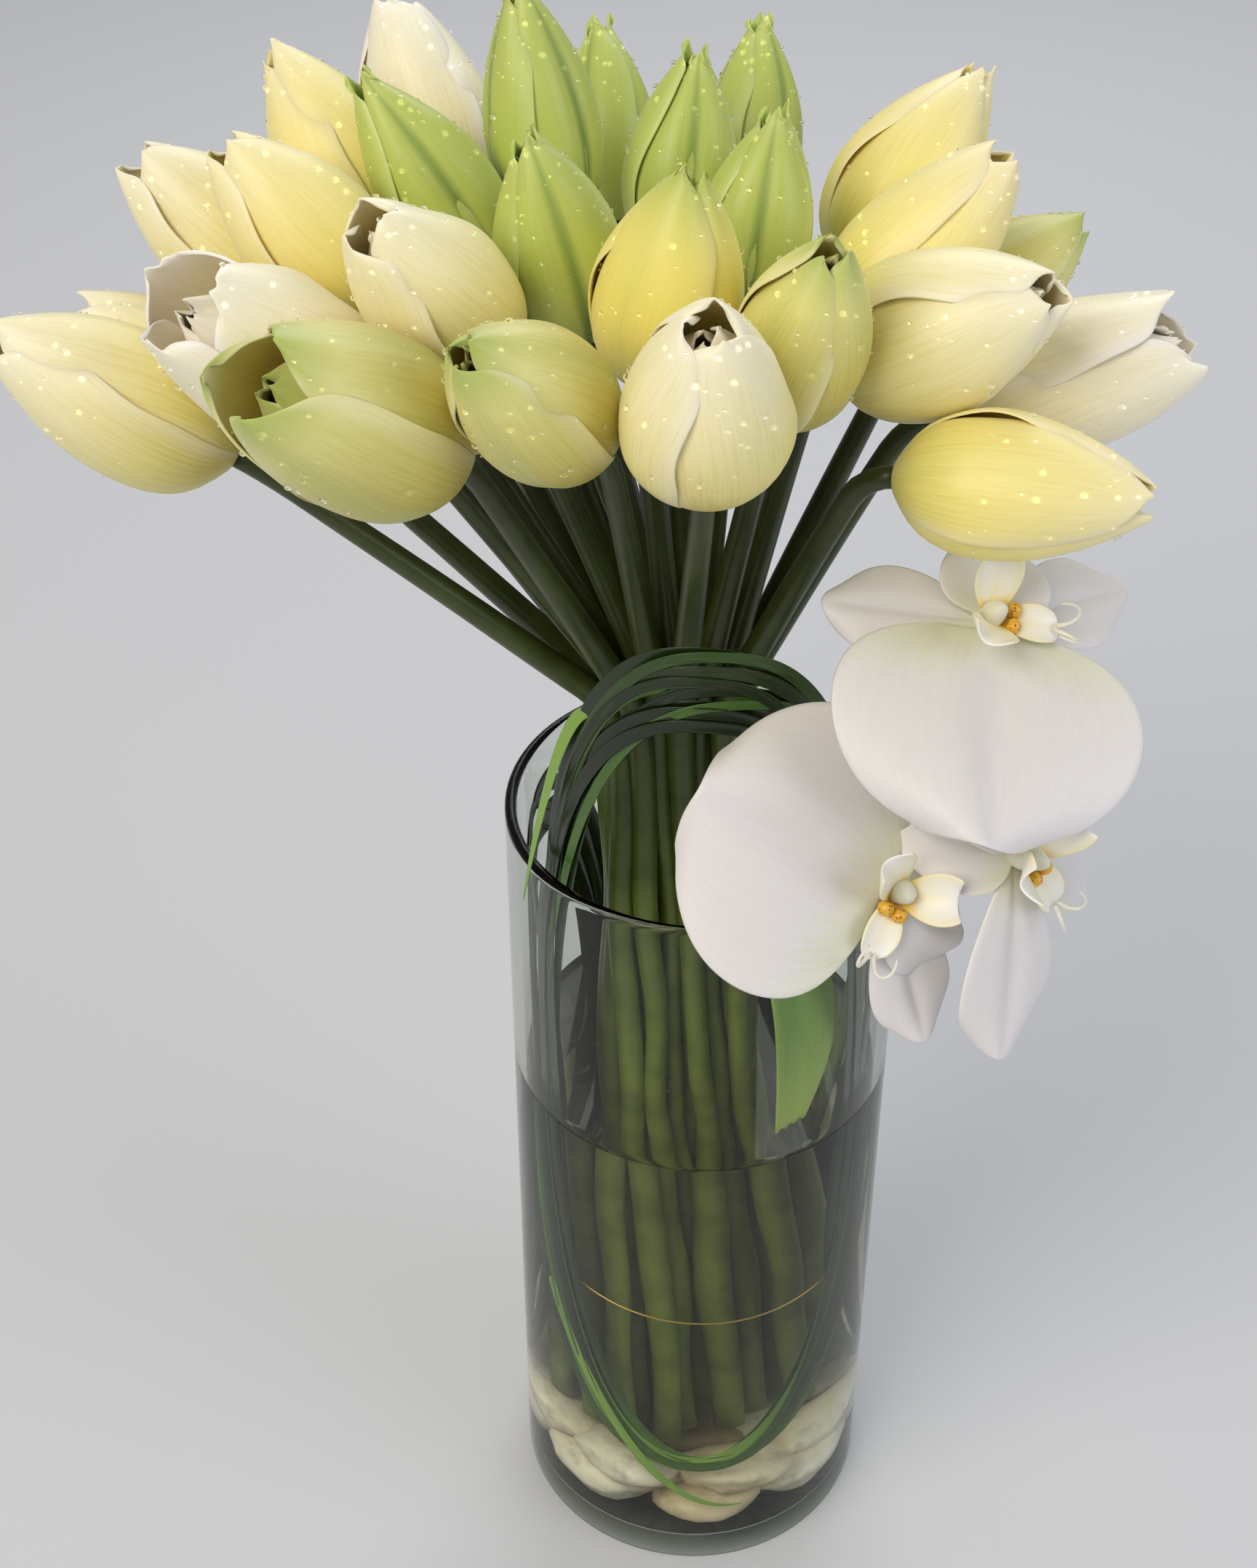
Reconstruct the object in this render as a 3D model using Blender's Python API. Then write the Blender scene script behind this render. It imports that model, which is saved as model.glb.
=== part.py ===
# Tulips, moth orchids and looped grass in a tall clear glass cylinder with water and river stones.
# Metres, +Z up. The origin is the centre of the vase's foot, on the surface it stands on.
import itertools
import math
import random

import bmesh
import bpy
from mathutils import Matrix, Vector

MM = 0.001
GAP = 0.3 * MM                       # clearance between pieces that touch
CRUMB = 3 * MM ** 3                  # a loose scrap under this volume is dropped
SHARP_ANGLE = math.radians(50)

# Vase
VASE_RADIUS = 60 * MM
VASE_HEIGHT = 300 * MM
WALL = 3.5 * MM
FLOOR = 10 * MM
BORE = VASE_RADIUS - WALL
VASE_SIDES = 36

# What fills the vase
STONE_TOP = 42 * MM
WATER_TOP = 198 * MM
WATER_FRONT = 50.6 * MM              # the water stops here in front, where the grass lies
COIL_RADIUS = 52.5 * MM              # the grass loops lie on a cylinder of this radius

# Tulip stems: straight from the stones to the neck, where they press together
STEM_RADIUS = 4.1 * MM
STEM_TOP_RADIUS = 2.9 * MM
STEM_SIDES = 5
FOOT_CENTRE = Vector((-5, 4, 43)) * MM
NECK_CENTRE = Vector((-10, 3, 338)) * MM
NECK_PITCH = 6.9 * MM                # less than two stem radii, so neighbours join
FOOT_SPREAD = 1.70                   # the feet stand this much wider than the neck
FOOT_TWIST = math.radians(30)
COLLAR = 7 * MM                      # the last straight run of a stem under its bloom
BEND_STEPS = 6                       # runs in each stem between the neck and its bloom
NECK_DRAW = 0.2                      # how far each bloom's place is drawn in at the neck

# Blooms
BELLY = 0.38                         # widest station along a bloom
PETAL_SPREAD = math.radians(56)
PETAL_THICKNESS = 1.1 * MM
PETAL_ROOT = 0.15                    # the outer petals leave the cup at this station
PETAL_TIP = 0.96
CORE_INSET = 0.84
SQUEEZE = 0.97                       # how far a bloom gives where a neighbour presses on it
WIDE_OPEN = 0.6                      # blooms at least this open have six free petals

# One tulip a line: base of the bloom (mm), heading and lean (degrees), length and girth (mm),
# openness from 0 to 1.1, and colour.
TULIPS = [
    ("tulip_01_far_left", (-112, -18, 434), 185, 57, 70, 40, 0.35, "cream"),
    ("tulip_02_left_under", (-114, 16, 422), 176, 60, 64, 34, 0.30, "cream"),
    ("tulip_03_left_high", (-110, 36, 436), 172, 44, 66, 38, 0.45, "cream"),
    ("tulip_04_left_white", (-90, -16, 426), 214, 47, 78, 44, 0.75, "white"),
    ("tulip_05_left_front", (-58, -38, 452), 225, 52, 76, 46, 0.75, "lime"),
    ("tulip_06_left_gold", (-86, 14, 450), 178, 38, 64, 38, 0.35, "yellow"),
    ("tulip_07_back_left", (-84, 52, 448), 152, 38, 68, 38, 0.10, "yellow"),
    ("tulip_08_back_white", (-68, 88, 444), 128, 38, 64, 38, 0.50, "white"),
    ("tulip_09_green_left", (-58, 34, 452), 172, 32, 66, 32, 0.00, "green"),
    ("tulip_10_mid_left", (-52, -10, 454), 218, 36, 62, 38, 0.45, "cream"),
    ("tulip_11_front_left", (-34, -46, 446), 230, 46, 64, 37, 0.25, "lime"),
    ("tulip_12_green_front", (-40, 2, 446), 200, 14, 62, 35, 0.05, "green"),
    ("tulip_13_green_tall", (-42, 48, 460), 140, 12, 68, 32, 0.00, "green"),
    ("tulip_14_green_back", (-26, 92, 440), 100, 34, 60, 30, 0.00, "green"),
    ("tulip_15_green_mid", (-12, 52, 448), 62, 16, 60, 32, 0.00, "green"),
    ("tulip_16_green_back", (10, 88, 442), 82, 34, 60, 30, 0.00, "green"),
    ("tulip_17_centre", (-18, -16, 448), 330, 10, 64, 39, 0.10, "yellow"),
    ("tulip_18_green_right", (6, 20, 446), 50, 14, 60, 32, 0.00, "green"),
    ("tulip_19_front_white", (-14, -52, 446), 268, 20, 58, 42, 0.35, "cream"),
    ("tulip_20_front_right", (10, -38, 448), 306, 20, 58, 35, 0.20, "lime"),
    ("tulip_21_back_right", (36, 54, 444), 32, 42, 68, 38, 0.10, "yellow"),
    ("tulip_22_right_high", (32, 14, 442), 10, 40, 68, 38, 0.35, "yellow"),
    ("tulip_23_right_lime", (56, 34, 432), 22, 60, 58, 34, 0.20, "lime"),
    ("tulip_24_right_cream", (30, -12, 444), 330, 58, 68, 43, 0.30, "cream"),
    ("tulip_25_far_right", (58, 6, 426), 352, 66, 72, 42, 0.75, "white"),
    ("tulip_26_right_low", (42, -34, 442), 338, 83, 66, 38, 0.30, "yellow"),
    ("tulip_27_behind_left", (-52, 116, 414), 108, 66, 58, 36, 0.30, "cream"),
    ("tulip_28_behind_right", (8, 120, 414), 76, 66, 58, 36, 0.20, "lime"),
]

# One orchid a line: centre (mm), the way it faces, the way its first broad petal points, and
# the turn (degrees), size and forward lift of its two broad petals and then its three sepals.
ORCHIDS = [
    ("orchid_front", (45, -86, 337), (0.36, -0.74, 0.56), (0.76, 0.10, -0.64),
     ((0, 0.45, -0.1), (180, 1.05, 0.1), (92, 0.3, -0.4), (215, 0.8, -0.1), (318, 0.8, 0.0))),
    ("orchid_top", (70, -47, 396), (0.20, -0.55, 0.81), (0.10, 0.88, 0.45),
     ((0, 0.40, 0.1), (182, 1.10, 0.28), (90, 0.80, 0.0), (218, 0.5, 0.0), (298, 0.85, 0.0))),
    ("orchid_side", (77, -84, 348), (0.60, -0.70, 0.39), (0.70, 0.60, 0.38),
     ((352, 0.8, -0.25), (118, 0.36, -0.8), (94, 0.3, -0.5), (235, 1.05, 0.05), (304, 0.5, 0.1))),
]
ORCHID_PETAL = (58 * MM, 76 * MM)    # length and width of a broad petal
ORCHID_SEPAL = (54 * MM, 32 * MM)
ORCHID_LIP = (20 * MM, 13 * MM)
ORCHID_BLADE = 1.2 * MM
ORCHID_CORE = 6.5 * MM
STALK_RADIUS = 2.0 * MM
TWIG_RADIUS = 1.5 * MM
STALK_SIDES = 5

COLOURS = {
    "cream": (0.90, 0.86, 0.58),
    "white": (0.90, 0.87, 0.76),
    "yellow": (0.88, 0.80, 0.36),
    "lime": (0.72, 0.76, 0.30),
    "green": (0.36, 0.50, 0.11),
}


# ---- shared makers ----

def material(name, colour, roughness, metallic=0.0):
    found = bpy.data.materials.get(name)
    if found:
        return found
    made = bpy.data.materials.new(name)
    made.use_nodes = True
    shader = made.node_tree.nodes["Principled BSDF"]
    shader.inputs["Base Color"].default_value = (*colour, 1)
    shader.inputs["Roughness"].default_value = roughness
    shader.inputs["Metallic"].default_value = metallic
    return made


def smooth(mesh):
    """Shade round walls smooth and leave real edges sharp."""
    mesh.shade_smooth()
    mesh.set_sharp_from_angle(angle=SHARP_ANGLE)


def new_object(name, bm, finish=None):
    """Turn a bmesh into a named object in the scene."""
    bmesh.ops.recalc_face_normals(bm, faces=bm.faces)
    mesh = bpy.data.meshes.new(name)
    bm.to_mesh(mesh)
    bm.free()
    obj = bpy.data.objects.new(name, mesh)
    if finish:
        mesh.materials.append(finish)
    smooth(mesh)
    bpy.context.scene.collection.objects.link(obj)
    return obj


def add_rings(bm, rings, closed=False, caps=True):
    """Skin a run of equal rings of points into a closed wall."""
    rows = [[bm.verts.new(point) for point in ring] for ring in rings]
    pairs = list(zip(rows, rows[1:]))
    if closed:
        pairs.append((rows[-1], rows[0]))
    for low, high in pairs:
        count = len(low)
        for i in range(count):
            j = (i + 1) % count
            bm.faces.new((low[i], low[j], high[j], high[i]))
    if caps and not closed:
        bm.faces.new(list(reversed(rows[0])))
        bm.faces.new(rows[-1])


def tube_rings(points, radii, sides):
    """Rings square to a path, carried along it without twisting."""
    rings = []
    last = len(points) - 1
    tangent = (points[1] - points[0]).normalized()
    across = tangent.orthogonal().normalized()
    for i, point in enumerate(points):
        ahead = points[min(i + 1, last)] - points[max(i - 1, 0)]
        turned = ahead.normalized()
        across = tangent.rotation_difference(turned) @ across
        tangent = turned
        up = tangent.cross(across).normalized()
        ring = []
        for k in range(sides):
            angle = 2 * math.pi * k / sides
            ring.append(point + (across * math.cos(angle) + up * math.sin(angle)) * radii[i])
        rings.append(ring)
    return rings


def add_blade(bm, place, rows, columns, thickness):
    """A thin closed blade: place(s, t) gives the outer skin, s from -1 to 1 and t from 0 to 1.

    Both skins are split into triangles the same way, so they never cross."""
    outer = [[Vector(place(2 * c / columns - 1, r / rows)) for c in range(columns + 1)]
             for r in range(rows + 1)]
    inner = []
    for r in range(rows + 1):
        line = []
        for c in range(columns + 1):
            along = outer[min(r + 1, rows)][c] - outer[max(r - 1, 0)][c]
            side = outer[r][min(c + 1, columns)] - outer[r][max(c - 1, 0)]
            line.append(outer[r][c] - side.cross(along).normalized() * thickness)
        inner.append(line)
    front = [[bm.verts.new(p) for p in line] for line in outer]
    back = [[bm.verts.new(p) for p in line] for line in inner]
    for r in range(rows):
        for c in range(columns):
            a, b = (r, c), (r, c + 1)
            d, e = (r + 1, c + 1), (r + 1, c)
            split = ((a, b, d), (a, d, e)) if c < columns / 2 else ((a, b, e), (b, d, e))
            for tri in split:
                bm.faces.new([front[i][j] for i, j in tri])
                bm.faces.new([back[i][j] for i, j in reversed(tri)])
    edge = [(0, c) for c in range(columns)] + [(r, columns) for r in range(rows)]
    edge += [(rows, c) for c in range(columns, 0, -1)] + [(r, 0) for r in range(rows, 0, -1)]
    for here, there in zip(edge, edge[1:] + edge[:1]):
        bm.faces.new((front[here[0]][here[1]], back[here[0]][here[1]],
                      back[there[0]][there[1]], front[there[0]][there[1]]))


def shells(bm):
    """The connected runs of faces in a bmesh."""
    left = set(bm.faces)
    found = []
    while left:
        queue = [left.pop()]
        shell = set(queue)
        while queue:
            face = queue.pop()
            for edge in face.edges:
                for other in edge.link_faces:
                    if other in left:
                        left.discard(other)
                        shell.add(other)
                        queue.append(other)
        found.append(shell)
    return found


def combine(body, tools, operation):
    """One Boolean on a collection of tools, applied; the tools are then removed."""
    group = bpy.data.collections.new(body.name + "_tools")
    bpy.context.scene.collection.children.link(group)
    for tool in tools:
        bpy.context.scene.collection.objects.unlink(tool)
        group.objects.link(tool)
    cut = body.modifiers.new("combine", "BOOLEAN")
    cut.operation = operation
    cut.operand_type = "COLLECTION"
    cut.collection = group
    graph = bpy.context.evaluated_depsgraph_get()
    result = bpy.data.meshes.new_from_object(body.evaluated_get(graph))
    body.modifiers.clear()
    body.data = result
    for tool in tools:
        bpy.data.objects.remove(tool)
    bpy.data.collections.remove(group)
    keep_one_body(body)


def is_flat(face):
    """True where every corner of a face lies in its plane to a thousandth of a millimetre."""
    face.normal_update()
    start = face.verts[0].co
    return all(abs((v.co - start).dot(face.normal)) < MM / 1000 for v in face.verts)


def enclosed_volume(shell):
    """Volume inside a run of faces; a sealed hollow's is negative."""
    total = 0.0
    for face in shell:
        corners = [v.co for v in face.verts]
        for a, b in zip(corners[1:], corners[2:]):
            total += corners[0].dot(a.cross(b)) / 6
    return total


def keep_one_body(obj):
    """Fill sealed hollows and drop crumbs, so that one closed body is left."""
    bm = bmesh.new()
    bm.from_mesh(obj.data)
    found = sorted(shells(bm), key=enclosed_volume)
    for shell in found[:-1]:
        if enclosed_volume(shell) > CRUMB:
            raise ValueError(obj.name + " is not one piece")
        bmesh.ops.delete(bm, geom=list(shell), context="FACES")
    loose = [v for v in bm.verts if not v.link_faces]
    bmesh.ops.delete(bm, geom=loose, context="VERTS")
    bmesh.ops.triangulate(bm, faces=bm.faces, ngon_method="EAR_CLIP")
    bm.to_mesh(obj.data)
    bm.free()


def fuse(name, pieces, finish):
    """Join bmeshes that overlap into one named body."""
    for bm in pieces:
        bent = [face for face in bm.faces if not is_flat(face)]
        bmesh.ops.triangulate(bm, faces=bent)
    objects = [new_object(name + "_%d" % i, bm) for i, bm in enumerate(pieces)]
    body = objects[0]
    body.name = name
    combine(body, objects[1:], "UNION")
    body.data.materials.clear()
    body.data.materials.append(finish)
    body.data.name = name
    smooth(body.data)
    return body


# ---- vase ----

def circle(radius, z, sides):
    return [Vector((radius * math.cos(2 * math.pi * k / sides),
                    radius * math.sin(2 * math.pi * k / sides), z)) for k in range(sides)]


def make_vase():
    foot_round = 2.5 * MM
    lip = WALL / 2
    crown = [(VASE_RADIUS, VASE_HEIGHT - lip),
             (VASE_RADIUS - lip * 0.35, VASE_HEIGHT - lip * 0.3),
             (VASE_RADIUS - lip, VASE_HEIGHT),
             (VASE_RADIUS - lip * 1.65, VASE_HEIGHT - lip * 0.3),
             (BORE, VASE_HEIGHT - lip)]
    profile = [(VASE_RADIUS - foot_round, 0), (VASE_RADIUS, foot_round), *crown,
               (BORE, FLOOR + foot_round), (BORE - foot_round, FLOOR)]
    bm = bmesh.new()
    add_rings(bm, [circle(radius, z, VASE_SIDES) for radius, z in profile])
    return new_object("vase", bm, material("clear_glass", (0.9, 0.95, 0.93), 0.02))


# ---- river stones ----

STONE_RINGS = [                      # height, ring radius (mm), stones, half length and height
    (20.4, 36.4, 7, 17.6, 10.0),
    (20.6, 10.0, 3, 15.0, 10.0),
    (33.0, 36.6, 7, 17.4, 8.6),
    (32.8, 10.0, 3, 14.5, 8.8),
]


def make_stones():
    draw = random.Random(7)
    pieces = []
    for z, ring, count, half, thick in STONE_RINGS:
        start = draw.random()
        for k in range(count):
            angle = 2 * math.pi * (k + start) / count
            turn = Matrix.Rotation(angle + draw.uniform(-0.15, 0.15), 4, "Z")
            tilt = Matrix.Rotation(draw.uniform(-0.08, 0.08), 4, "Y")
            size = Matrix.Diagonal((half * draw.uniform(0.90, 0.98), half, thick, 1))
            move = Matrix.Translation(Vector((ring * math.cos(angle), ring * math.sin(angle), z)))
            bm = bmesh.new()
            bmesh.ops.create_uvsphere(bm, u_segments=6, v_segments=4, radius=MM)
            shift = Matrix.Scale(MM, 4) @ move @ turn @ tilt @ size @ Matrix.Scale(1 / MM, 4)
            bmesh.ops.transform(bm, matrix=shift, verts=bm.verts)
            pieces.append(bm)
    return fuse("river_stones", pieces, material("river_stone", (0.66, 0.62, 0.52), 0.55))


# ---- tulip blooms ----

def cup_radius(t, openness):
    """Radius of a tulip cup at station t, as a share of its half girth."""
    if t < BELLY:
        return math.sqrt(1 - (1 - t / BELLY) ** 2)
    fall = ((t - BELLY) / (1 - BELLY)) ** 2
    return 1 - (0.84 - 0.95 * openness) * fall


def axis_of(heading, lean):
    heading, lean = math.radians(heading), math.radians(lean)
    return Vector((math.sin(lean) * math.cos(heading), math.sin(lean) * math.sin(heading),
                   math.cos(lean)))


def settle_blooms():
    """Press the blooms apart until none lies inside a neighbour; gives base, axis and balls."""
    blooms = []
    for name, base, heading, lean, length, girth, openness, colour in TULIPS:
        axis = axis_of(heading, lean)
        balls = [(axis * (t * length * MM), cup_radius(t, openness) * girth / 2 * MM * SQUEEZE)
                 for t in (0.18, 0.38, 0.6, 0.82)]
        blooms.append([Vector(base) * MM, axis, balls])
    for step in range(160):
        hold = 0.05 if step < 120 else 0.0
        for bloom, row in zip(blooms, TULIPS):
            bloom[0] += (Vector(row[1]) * MM - bloom[0]) * hold
        for one, two in itertools.combinations(blooms, 2):
            push = Vector()
            for (a, ra), (b, rb) in itertools.product(one[2], two[2]):
                apart = two[0] + b - one[0] - a
                overlap = ra + rb - apart.length
                if overlap > push.length:
                    push = apart.normalized() * overlap
            one[0] -= push * 0.5
            two[0] += push * 0.5
    return blooms


def cup_point(bloom, t, angle, inset=1.0):
    """A point on a tulip cup, or on a smaller cup inside it."""
    length, half, openness = bloom
    radius = max(half * inset * cup_radius(t, openness), STEM_TOP_RADIUS * 1.15)
    return Vector((radius * math.cos(angle), radius * math.sin(angle), length * t))


def petal_spread(t):
    return PETAL_SPREAD * math.sqrt(max(0.0, 1 - ((t - 0.44) / 0.56) ** 2))


def petal_skin(bloom, turn, inset, root, rows):
    """Outer skin of one petal, three points a row from its root to its tip."""
    grid = []
    for r in range(rows + 1):
        t = root + (PETAL_TIP - root) * r / rows
        line = [cup_point(bloom, t, turn + s * petal_spread(t), inset) for s in (-1, 0, 1)]
        if r == rows:
            line[1].z += 0.05 * bloom[0]
        grid.append(line)
    return grid


def inner_petal(bloom, turn):
    """A free petal of the inner whorl of a wide open bloom."""
    grid = petal_skin(bloom, turn, CORE_INSET, 0.08, 3)
    bm = bmesh.new()
    add_blade(bm, lambda s, t: grid[round(3 * t)][round(s) + 1], 3, 2, PETAL_THICKNESS)
    return bm


def cup_ring(bm, bloom, stations, insets, spread):
    """Twelve points round the cup: three for each outer petal, then one in the gap beside it.

    The stations are the petal's and the gap's; the insets are for the petal's middle, its sides
    and the gap."""
    middle, beside, between = insets
    ring = []
    for k in range(3):
        turn = 2 * math.pi * k / 3
        for s, inset in ((-1, beside), (0, middle), (1, beside)):
            ring.append(cup_point(bloom, stations[0], turn + s * spread, inset))
        ring.append(cup_point(bloom, stations[1], turn + math.pi / 3, between))
    return [bm.verts.new(point) for point in ring]


def bloom_cup(bloom):
    """Three outer petals standing out of the closed inner whorl, or of an open bloom's heart.

    The skin runs up each petal's outside, over its tip, down its inside to the crotch, and from
    there on up the whorl, so that the cup is one closed surface."""
    wide = bloom[2] >= WIDE_OPEN
    rows = 3
    bm = bmesh.new()
    foot = cup_ring(bm, bloom, (0, 0), (1, 1, 1), math.radians(40))
    root = cup_ring(bm, bloom, (PETAL_ROOT, PETAL_ROOT), (1, 1, 1), petal_spread(PETAL_ROOT))
    crotch = cup_ring(bm, bloom, (0.18, 0.18), (CORE_INSET, CORE_INSET, 0.9),
                      petal_spread(PETAL_ROOT))
    if wide:
        upper = [cup_ring(bm, bloom, (0.34, 0.34), (0.5, 0.5, 0.5), math.radians(40))]
        crown = bm.verts.new((0, 0, 0.30 * bloom[0]))
    else:
        upper = [cup_ring(bm, bloom, (0.50, 0.50), (0.80, 0.72, 0.88), math.radians(40)),
                 cup_ring(bm, bloom, (0.78, 0.88), (0.66, 0.62, 0.72), math.radians(36))]
        crown = bm.verts.new((0, 0, 0.72 * bloom[0]))
    bm.faces.new(list(reversed(foot)))
    for i in range(12):
        j = (i + 1) % 12
        bm.faces.new((foot[i], foot[j], root[j], root[i]))
        for low, high in zip([crotch] + upper, upper):
            bm.faces.new((low[i], low[j], high[j], high[i]))
        bm.faces.new((upper[-1][i], upper[-1][j], crown))
        if i % 4 > 1:
            bm.faces.new((root[i], root[j], crotch[j], crotch[i]))
    for k in range(3):
        skin = petal_skin(bloom, 2 * math.pi * k / 3, 1.0, PETAL_ROOT, rows)
        outer = [root[4 * k:4 * k + 3]]
        inner = [crotch[4 * k:4 * k + 3]]
        for r in range(1, rows + 1):
            outer.append([bm.verts.new(point) for point in skin[r]])
            line = []
            for c in range(3):
                along = skin[min(r + 1, rows)][c] - skin[r - 1][c]
                side = skin[r][min(c + 1, 2)] - skin[r][max(c - 1, 0)]
                inward = along.cross(side).normalized() * PETAL_THICKNESS
                line.append(bm.verts.new(skin[r][c] + inward))
            inner.append(line)
        for r in range(rows):
            for c in range(2):
                corners = ((r, c), (r, c + 1), (r + 1, c + 1), (r + 1, c))
                split = ((0, 1, 2), (0, 2, 3)) if c else ((0, 1, 3), (1, 2, 3))
                for tri in split:
                    bm.faces.new([outer[corners[i][0]][corners[i][1]] for i in tri])
                    bm.faces.new([inner[corners[i][0]][corners[i][1]] for i in reversed(tri)])
            bm.faces.new((outer[r][0], outer[r + 1][0], inner[r + 1][0], inner[r][0]))
            bm.faces.new((outer[r][2], inner[r][2], inner[r + 1][2], outer[r + 1][2]))
        for c in range(2):
            bm.faces.new((outer[rows][c], outer[rows][c + 1], inner[rows][c + 1], inner[rows][c]))
    return bm


def make_bloom(row, base, axis, number):
    name, _, _, _, length, girth, openness, colour = row
    bloom = (length * MM, girth / 2 * MM, openness)
    finish = material("tulip_" + colour, COLOURS[colour], 0.45)
    if openness >= WIDE_OPEN:
        inner = [inner_petal(bloom, 2 * math.pi * (k + 0.5) / 3) for k in range(3)]
        flower = fuse(name, [bloom_cup(bloom), *inner], finish)
    else:
        flower = new_object(name, bloom_cup(bloom), finish)
    spin = Matrix.Rotation(math.radians(37 * number), 4, "Z")
    stand = Vector((0, 0, 1)).rotation_difference(axis).to_matrix().to_4x4()
    flower.matrix_world = Matrix.Translation(base) @ stand @ spin
    return flower


# ---- tulip stems ----

def neck_places(blooms):
    """Where each stem passes the neck: drawn in from its bloom, then pressed into a tight bunch."""
    places = [((base - NECK_CENTRE).xy * NECK_DRAW) for base, axis, balls in blooms]
    for step in range(400):
        for i in range(len(places)):
            places[i] = places[i] * 0.985
        for i, j in itertools.combinations(range(len(places)), 2):
            apart = places[j] - places[i]
            short = NECK_PITCH - apart.length
            if short > 0:
                push = apart.normalized() * short * 0.5
                places[i] -= push
                places[j] += push
    return places


def stem_lines(blooms):
    """Foot and neck point of every stem. The feet stand wider, turned by one twist."""
    turn = Matrix.Rotation(FOOT_TWIST, 2)
    lines = []
    for place in neck_places(blooms):
        wide = turn @ place * FOOT_SPREAD
        lines.append((FOOT_CENTRE + wide.to_3d(), NECK_CENTRE + place.to_3d()))
    return lines


def curve_points(start, handle_a, handle_b, end, count):
    """Points on a cubic curve, without its first one."""
    points = []
    for i in range(1, count + 1):
        t = i / count
        u = 1 - t
        points.append(start * u ** 3 + handle_a * (3 * u * u * t) + handle_b * (3 * u * t * t)
                      + end * t ** 3)
    return points


def stem_path(line, number, blooms):
    """Foot, neck and the bend up to the bloom, eased round every other bloom on the way."""
    foot, neck = line
    base, axis, _ = blooms[number]
    rise = (neck - foot).normalized()
    top = base - axis * GAP
    collar = top - axis * COLLAR
    reach = (collar - neck).length
    bend = curve_points(neck, neck + rise * reach * 0.4, collar - axis * reach * 0.35, collar,
                        BEND_STEPS - 1)
    others = [(bloom[0] + centre, radius) for i, bloom in enumerate(blooms) if i != number
              for centre, radius in bloom[2]]
    for _ in range(80):
        for i in range(len(bend) - 1):
            before = bend[i - 1] if i else neck
            bend[i] = bend[i] * 0.8 + (before + bend[i + 1]) * 0.1
        for i in range(1, len(bend)):
            for share in (0.0, 0.5):
                spot = bend[i - 1].lerp(bend[i], share)
                for centre, radius in others:
                    apart = spot - centre
                    short = radius / SQUEEZE + STEM_RADIUS + 3 * GAP - apart.length
                    if short > 0:
                        push = apart.normalized() * short
                        bend[i - 1] += push * (1 - share)
                        if i < len(bend) - 1:
                            bend[i] += push * share
    return [foot, neck, *bend, top]


LEAF_OUT = Vector((33, -35, 266)) * MM
LEAF_HANG = Vector((33, -36, 240)) * MM
LEAF_TIP = Vector((26, -42, 205)) * MM
LEAF_SIDE = Vector((0.78, 0.62, 0))  # along the glass
LEAF_HALF_WIDTH = 11 * MM


def torn_leaf(lines):
    """A leaf still on the stem nearest to it: out over the water, then down beside the glass."""
    share = (LEAF_OUT.z - FOOT_CENTRE.z) / (NECK_CENTRE.z - FOOT_CENTRE.z)
    roots = [foot.lerp(neck, share) for foot, neck in lines]
    root = min(roots, key=lambda point: (point - LEAF_OUT).length)

    def place(s, t):
        u = 1 - t
        spine = (root * u ** 3 + LEAF_OUT * (3 * u * u * t) + LEAF_HANG * (3 * u * t * t)
                 + LEAF_TIP * t ** 3)
        width = 1.5 * MM + LEAF_HALF_WIDTH * math.sin(math.pi * min(1, t * 0.86))
        return spine + LEAF_SIDE * (s * width)
    bm = bmesh.new()
    add_blade(bm, place, 6, 2, PETAL_THICKNESS)
    return bm


def make_stems(blooms, lines):
    pieces = [torn_leaf(lines)]
    for number, line in enumerate(lines):
        path = stem_path(line, number, blooms)
        slim = [STEM_RADIUS + (STEM_TOP_RADIUS - STEM_RADIUS) * i / BEND_STEPS
                for i in range(1, BEND_STEPS + 1)]
        bm = bmesh.new()
        add_rings(bm, tube_rings(path, [STEM_RADIUS, STEM_RADIUS, *slim], STEM_SIDES))
        pieces.append(bm)
    return fuse("tulip_stems", pieces, material("tulip_stem", (0.20, 0.30, 0.08), 0.45))


# ---- water ----

def make_water(lines, stalk_foot, stalk_rim):
    back = [(BORE - 2 * GAP, math.radians(-12 + 204 * k / 18)) for k in range(19)]
    front = [(WATER_FRONT, math.radians(196 + 148 * k / 10)) for k in range(11)]
    outline = [(radius * math.cos(angle), radius * math.sin(angle))
               for radius, angle in back + front]
    bottom, top = STONE_TOP + GAP, WATER_TOP
    bm = bmesh.new()
    add_rings(bm, [[Vector((x, y, z)) for x, y in outline] for z in (bottom, top)])
    water = new_object("water", bm, material("water", (0.55, 0.65, 0.60), 0.03))
    cutters = []
    wells = [(foot, neck, STEM_RADIUS, STEM_SIDES) for foot, neck in lines]
    wells.append((stalk_foot, stalk_rim, STALK_RADIUS, STALK_SIDES))
    for low, high, radius, count in wells:
        hole = bmesh.new()
        wide = radius + GAP * 1.3
        below = (high - low).normalized() * (GAP if low is stalk_foot else STEM_RADIUS * 1.5)
        add_rings(hole, tube_rings([low - below, high], [wide, wide], count))
        cutters.append(new_object("well", hole))
    combine(water, cutters, "DIFFERENCE")
    return water


# ---- grass loops ----

GRASS_LOOPS = [                      # half width, top, foot, side shift (mm)
    (48.5, 369, 50, 1.0),
    (45.0, 376, 52, 2.5),
    (47.5, 383, 48, -1.5),
    (49.5, 390, 51, 0.0),
    (46.5, 379, 49, 3.0),
]
GRASS_WIDTH = 3.4 * MM
GRASS_THICKNESS = 1.2 * MM


def coil_point(x, z, radius):
    return Vector((x, -math.sqrt(max(0.0, radius * radius - x * x)), z))


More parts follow.
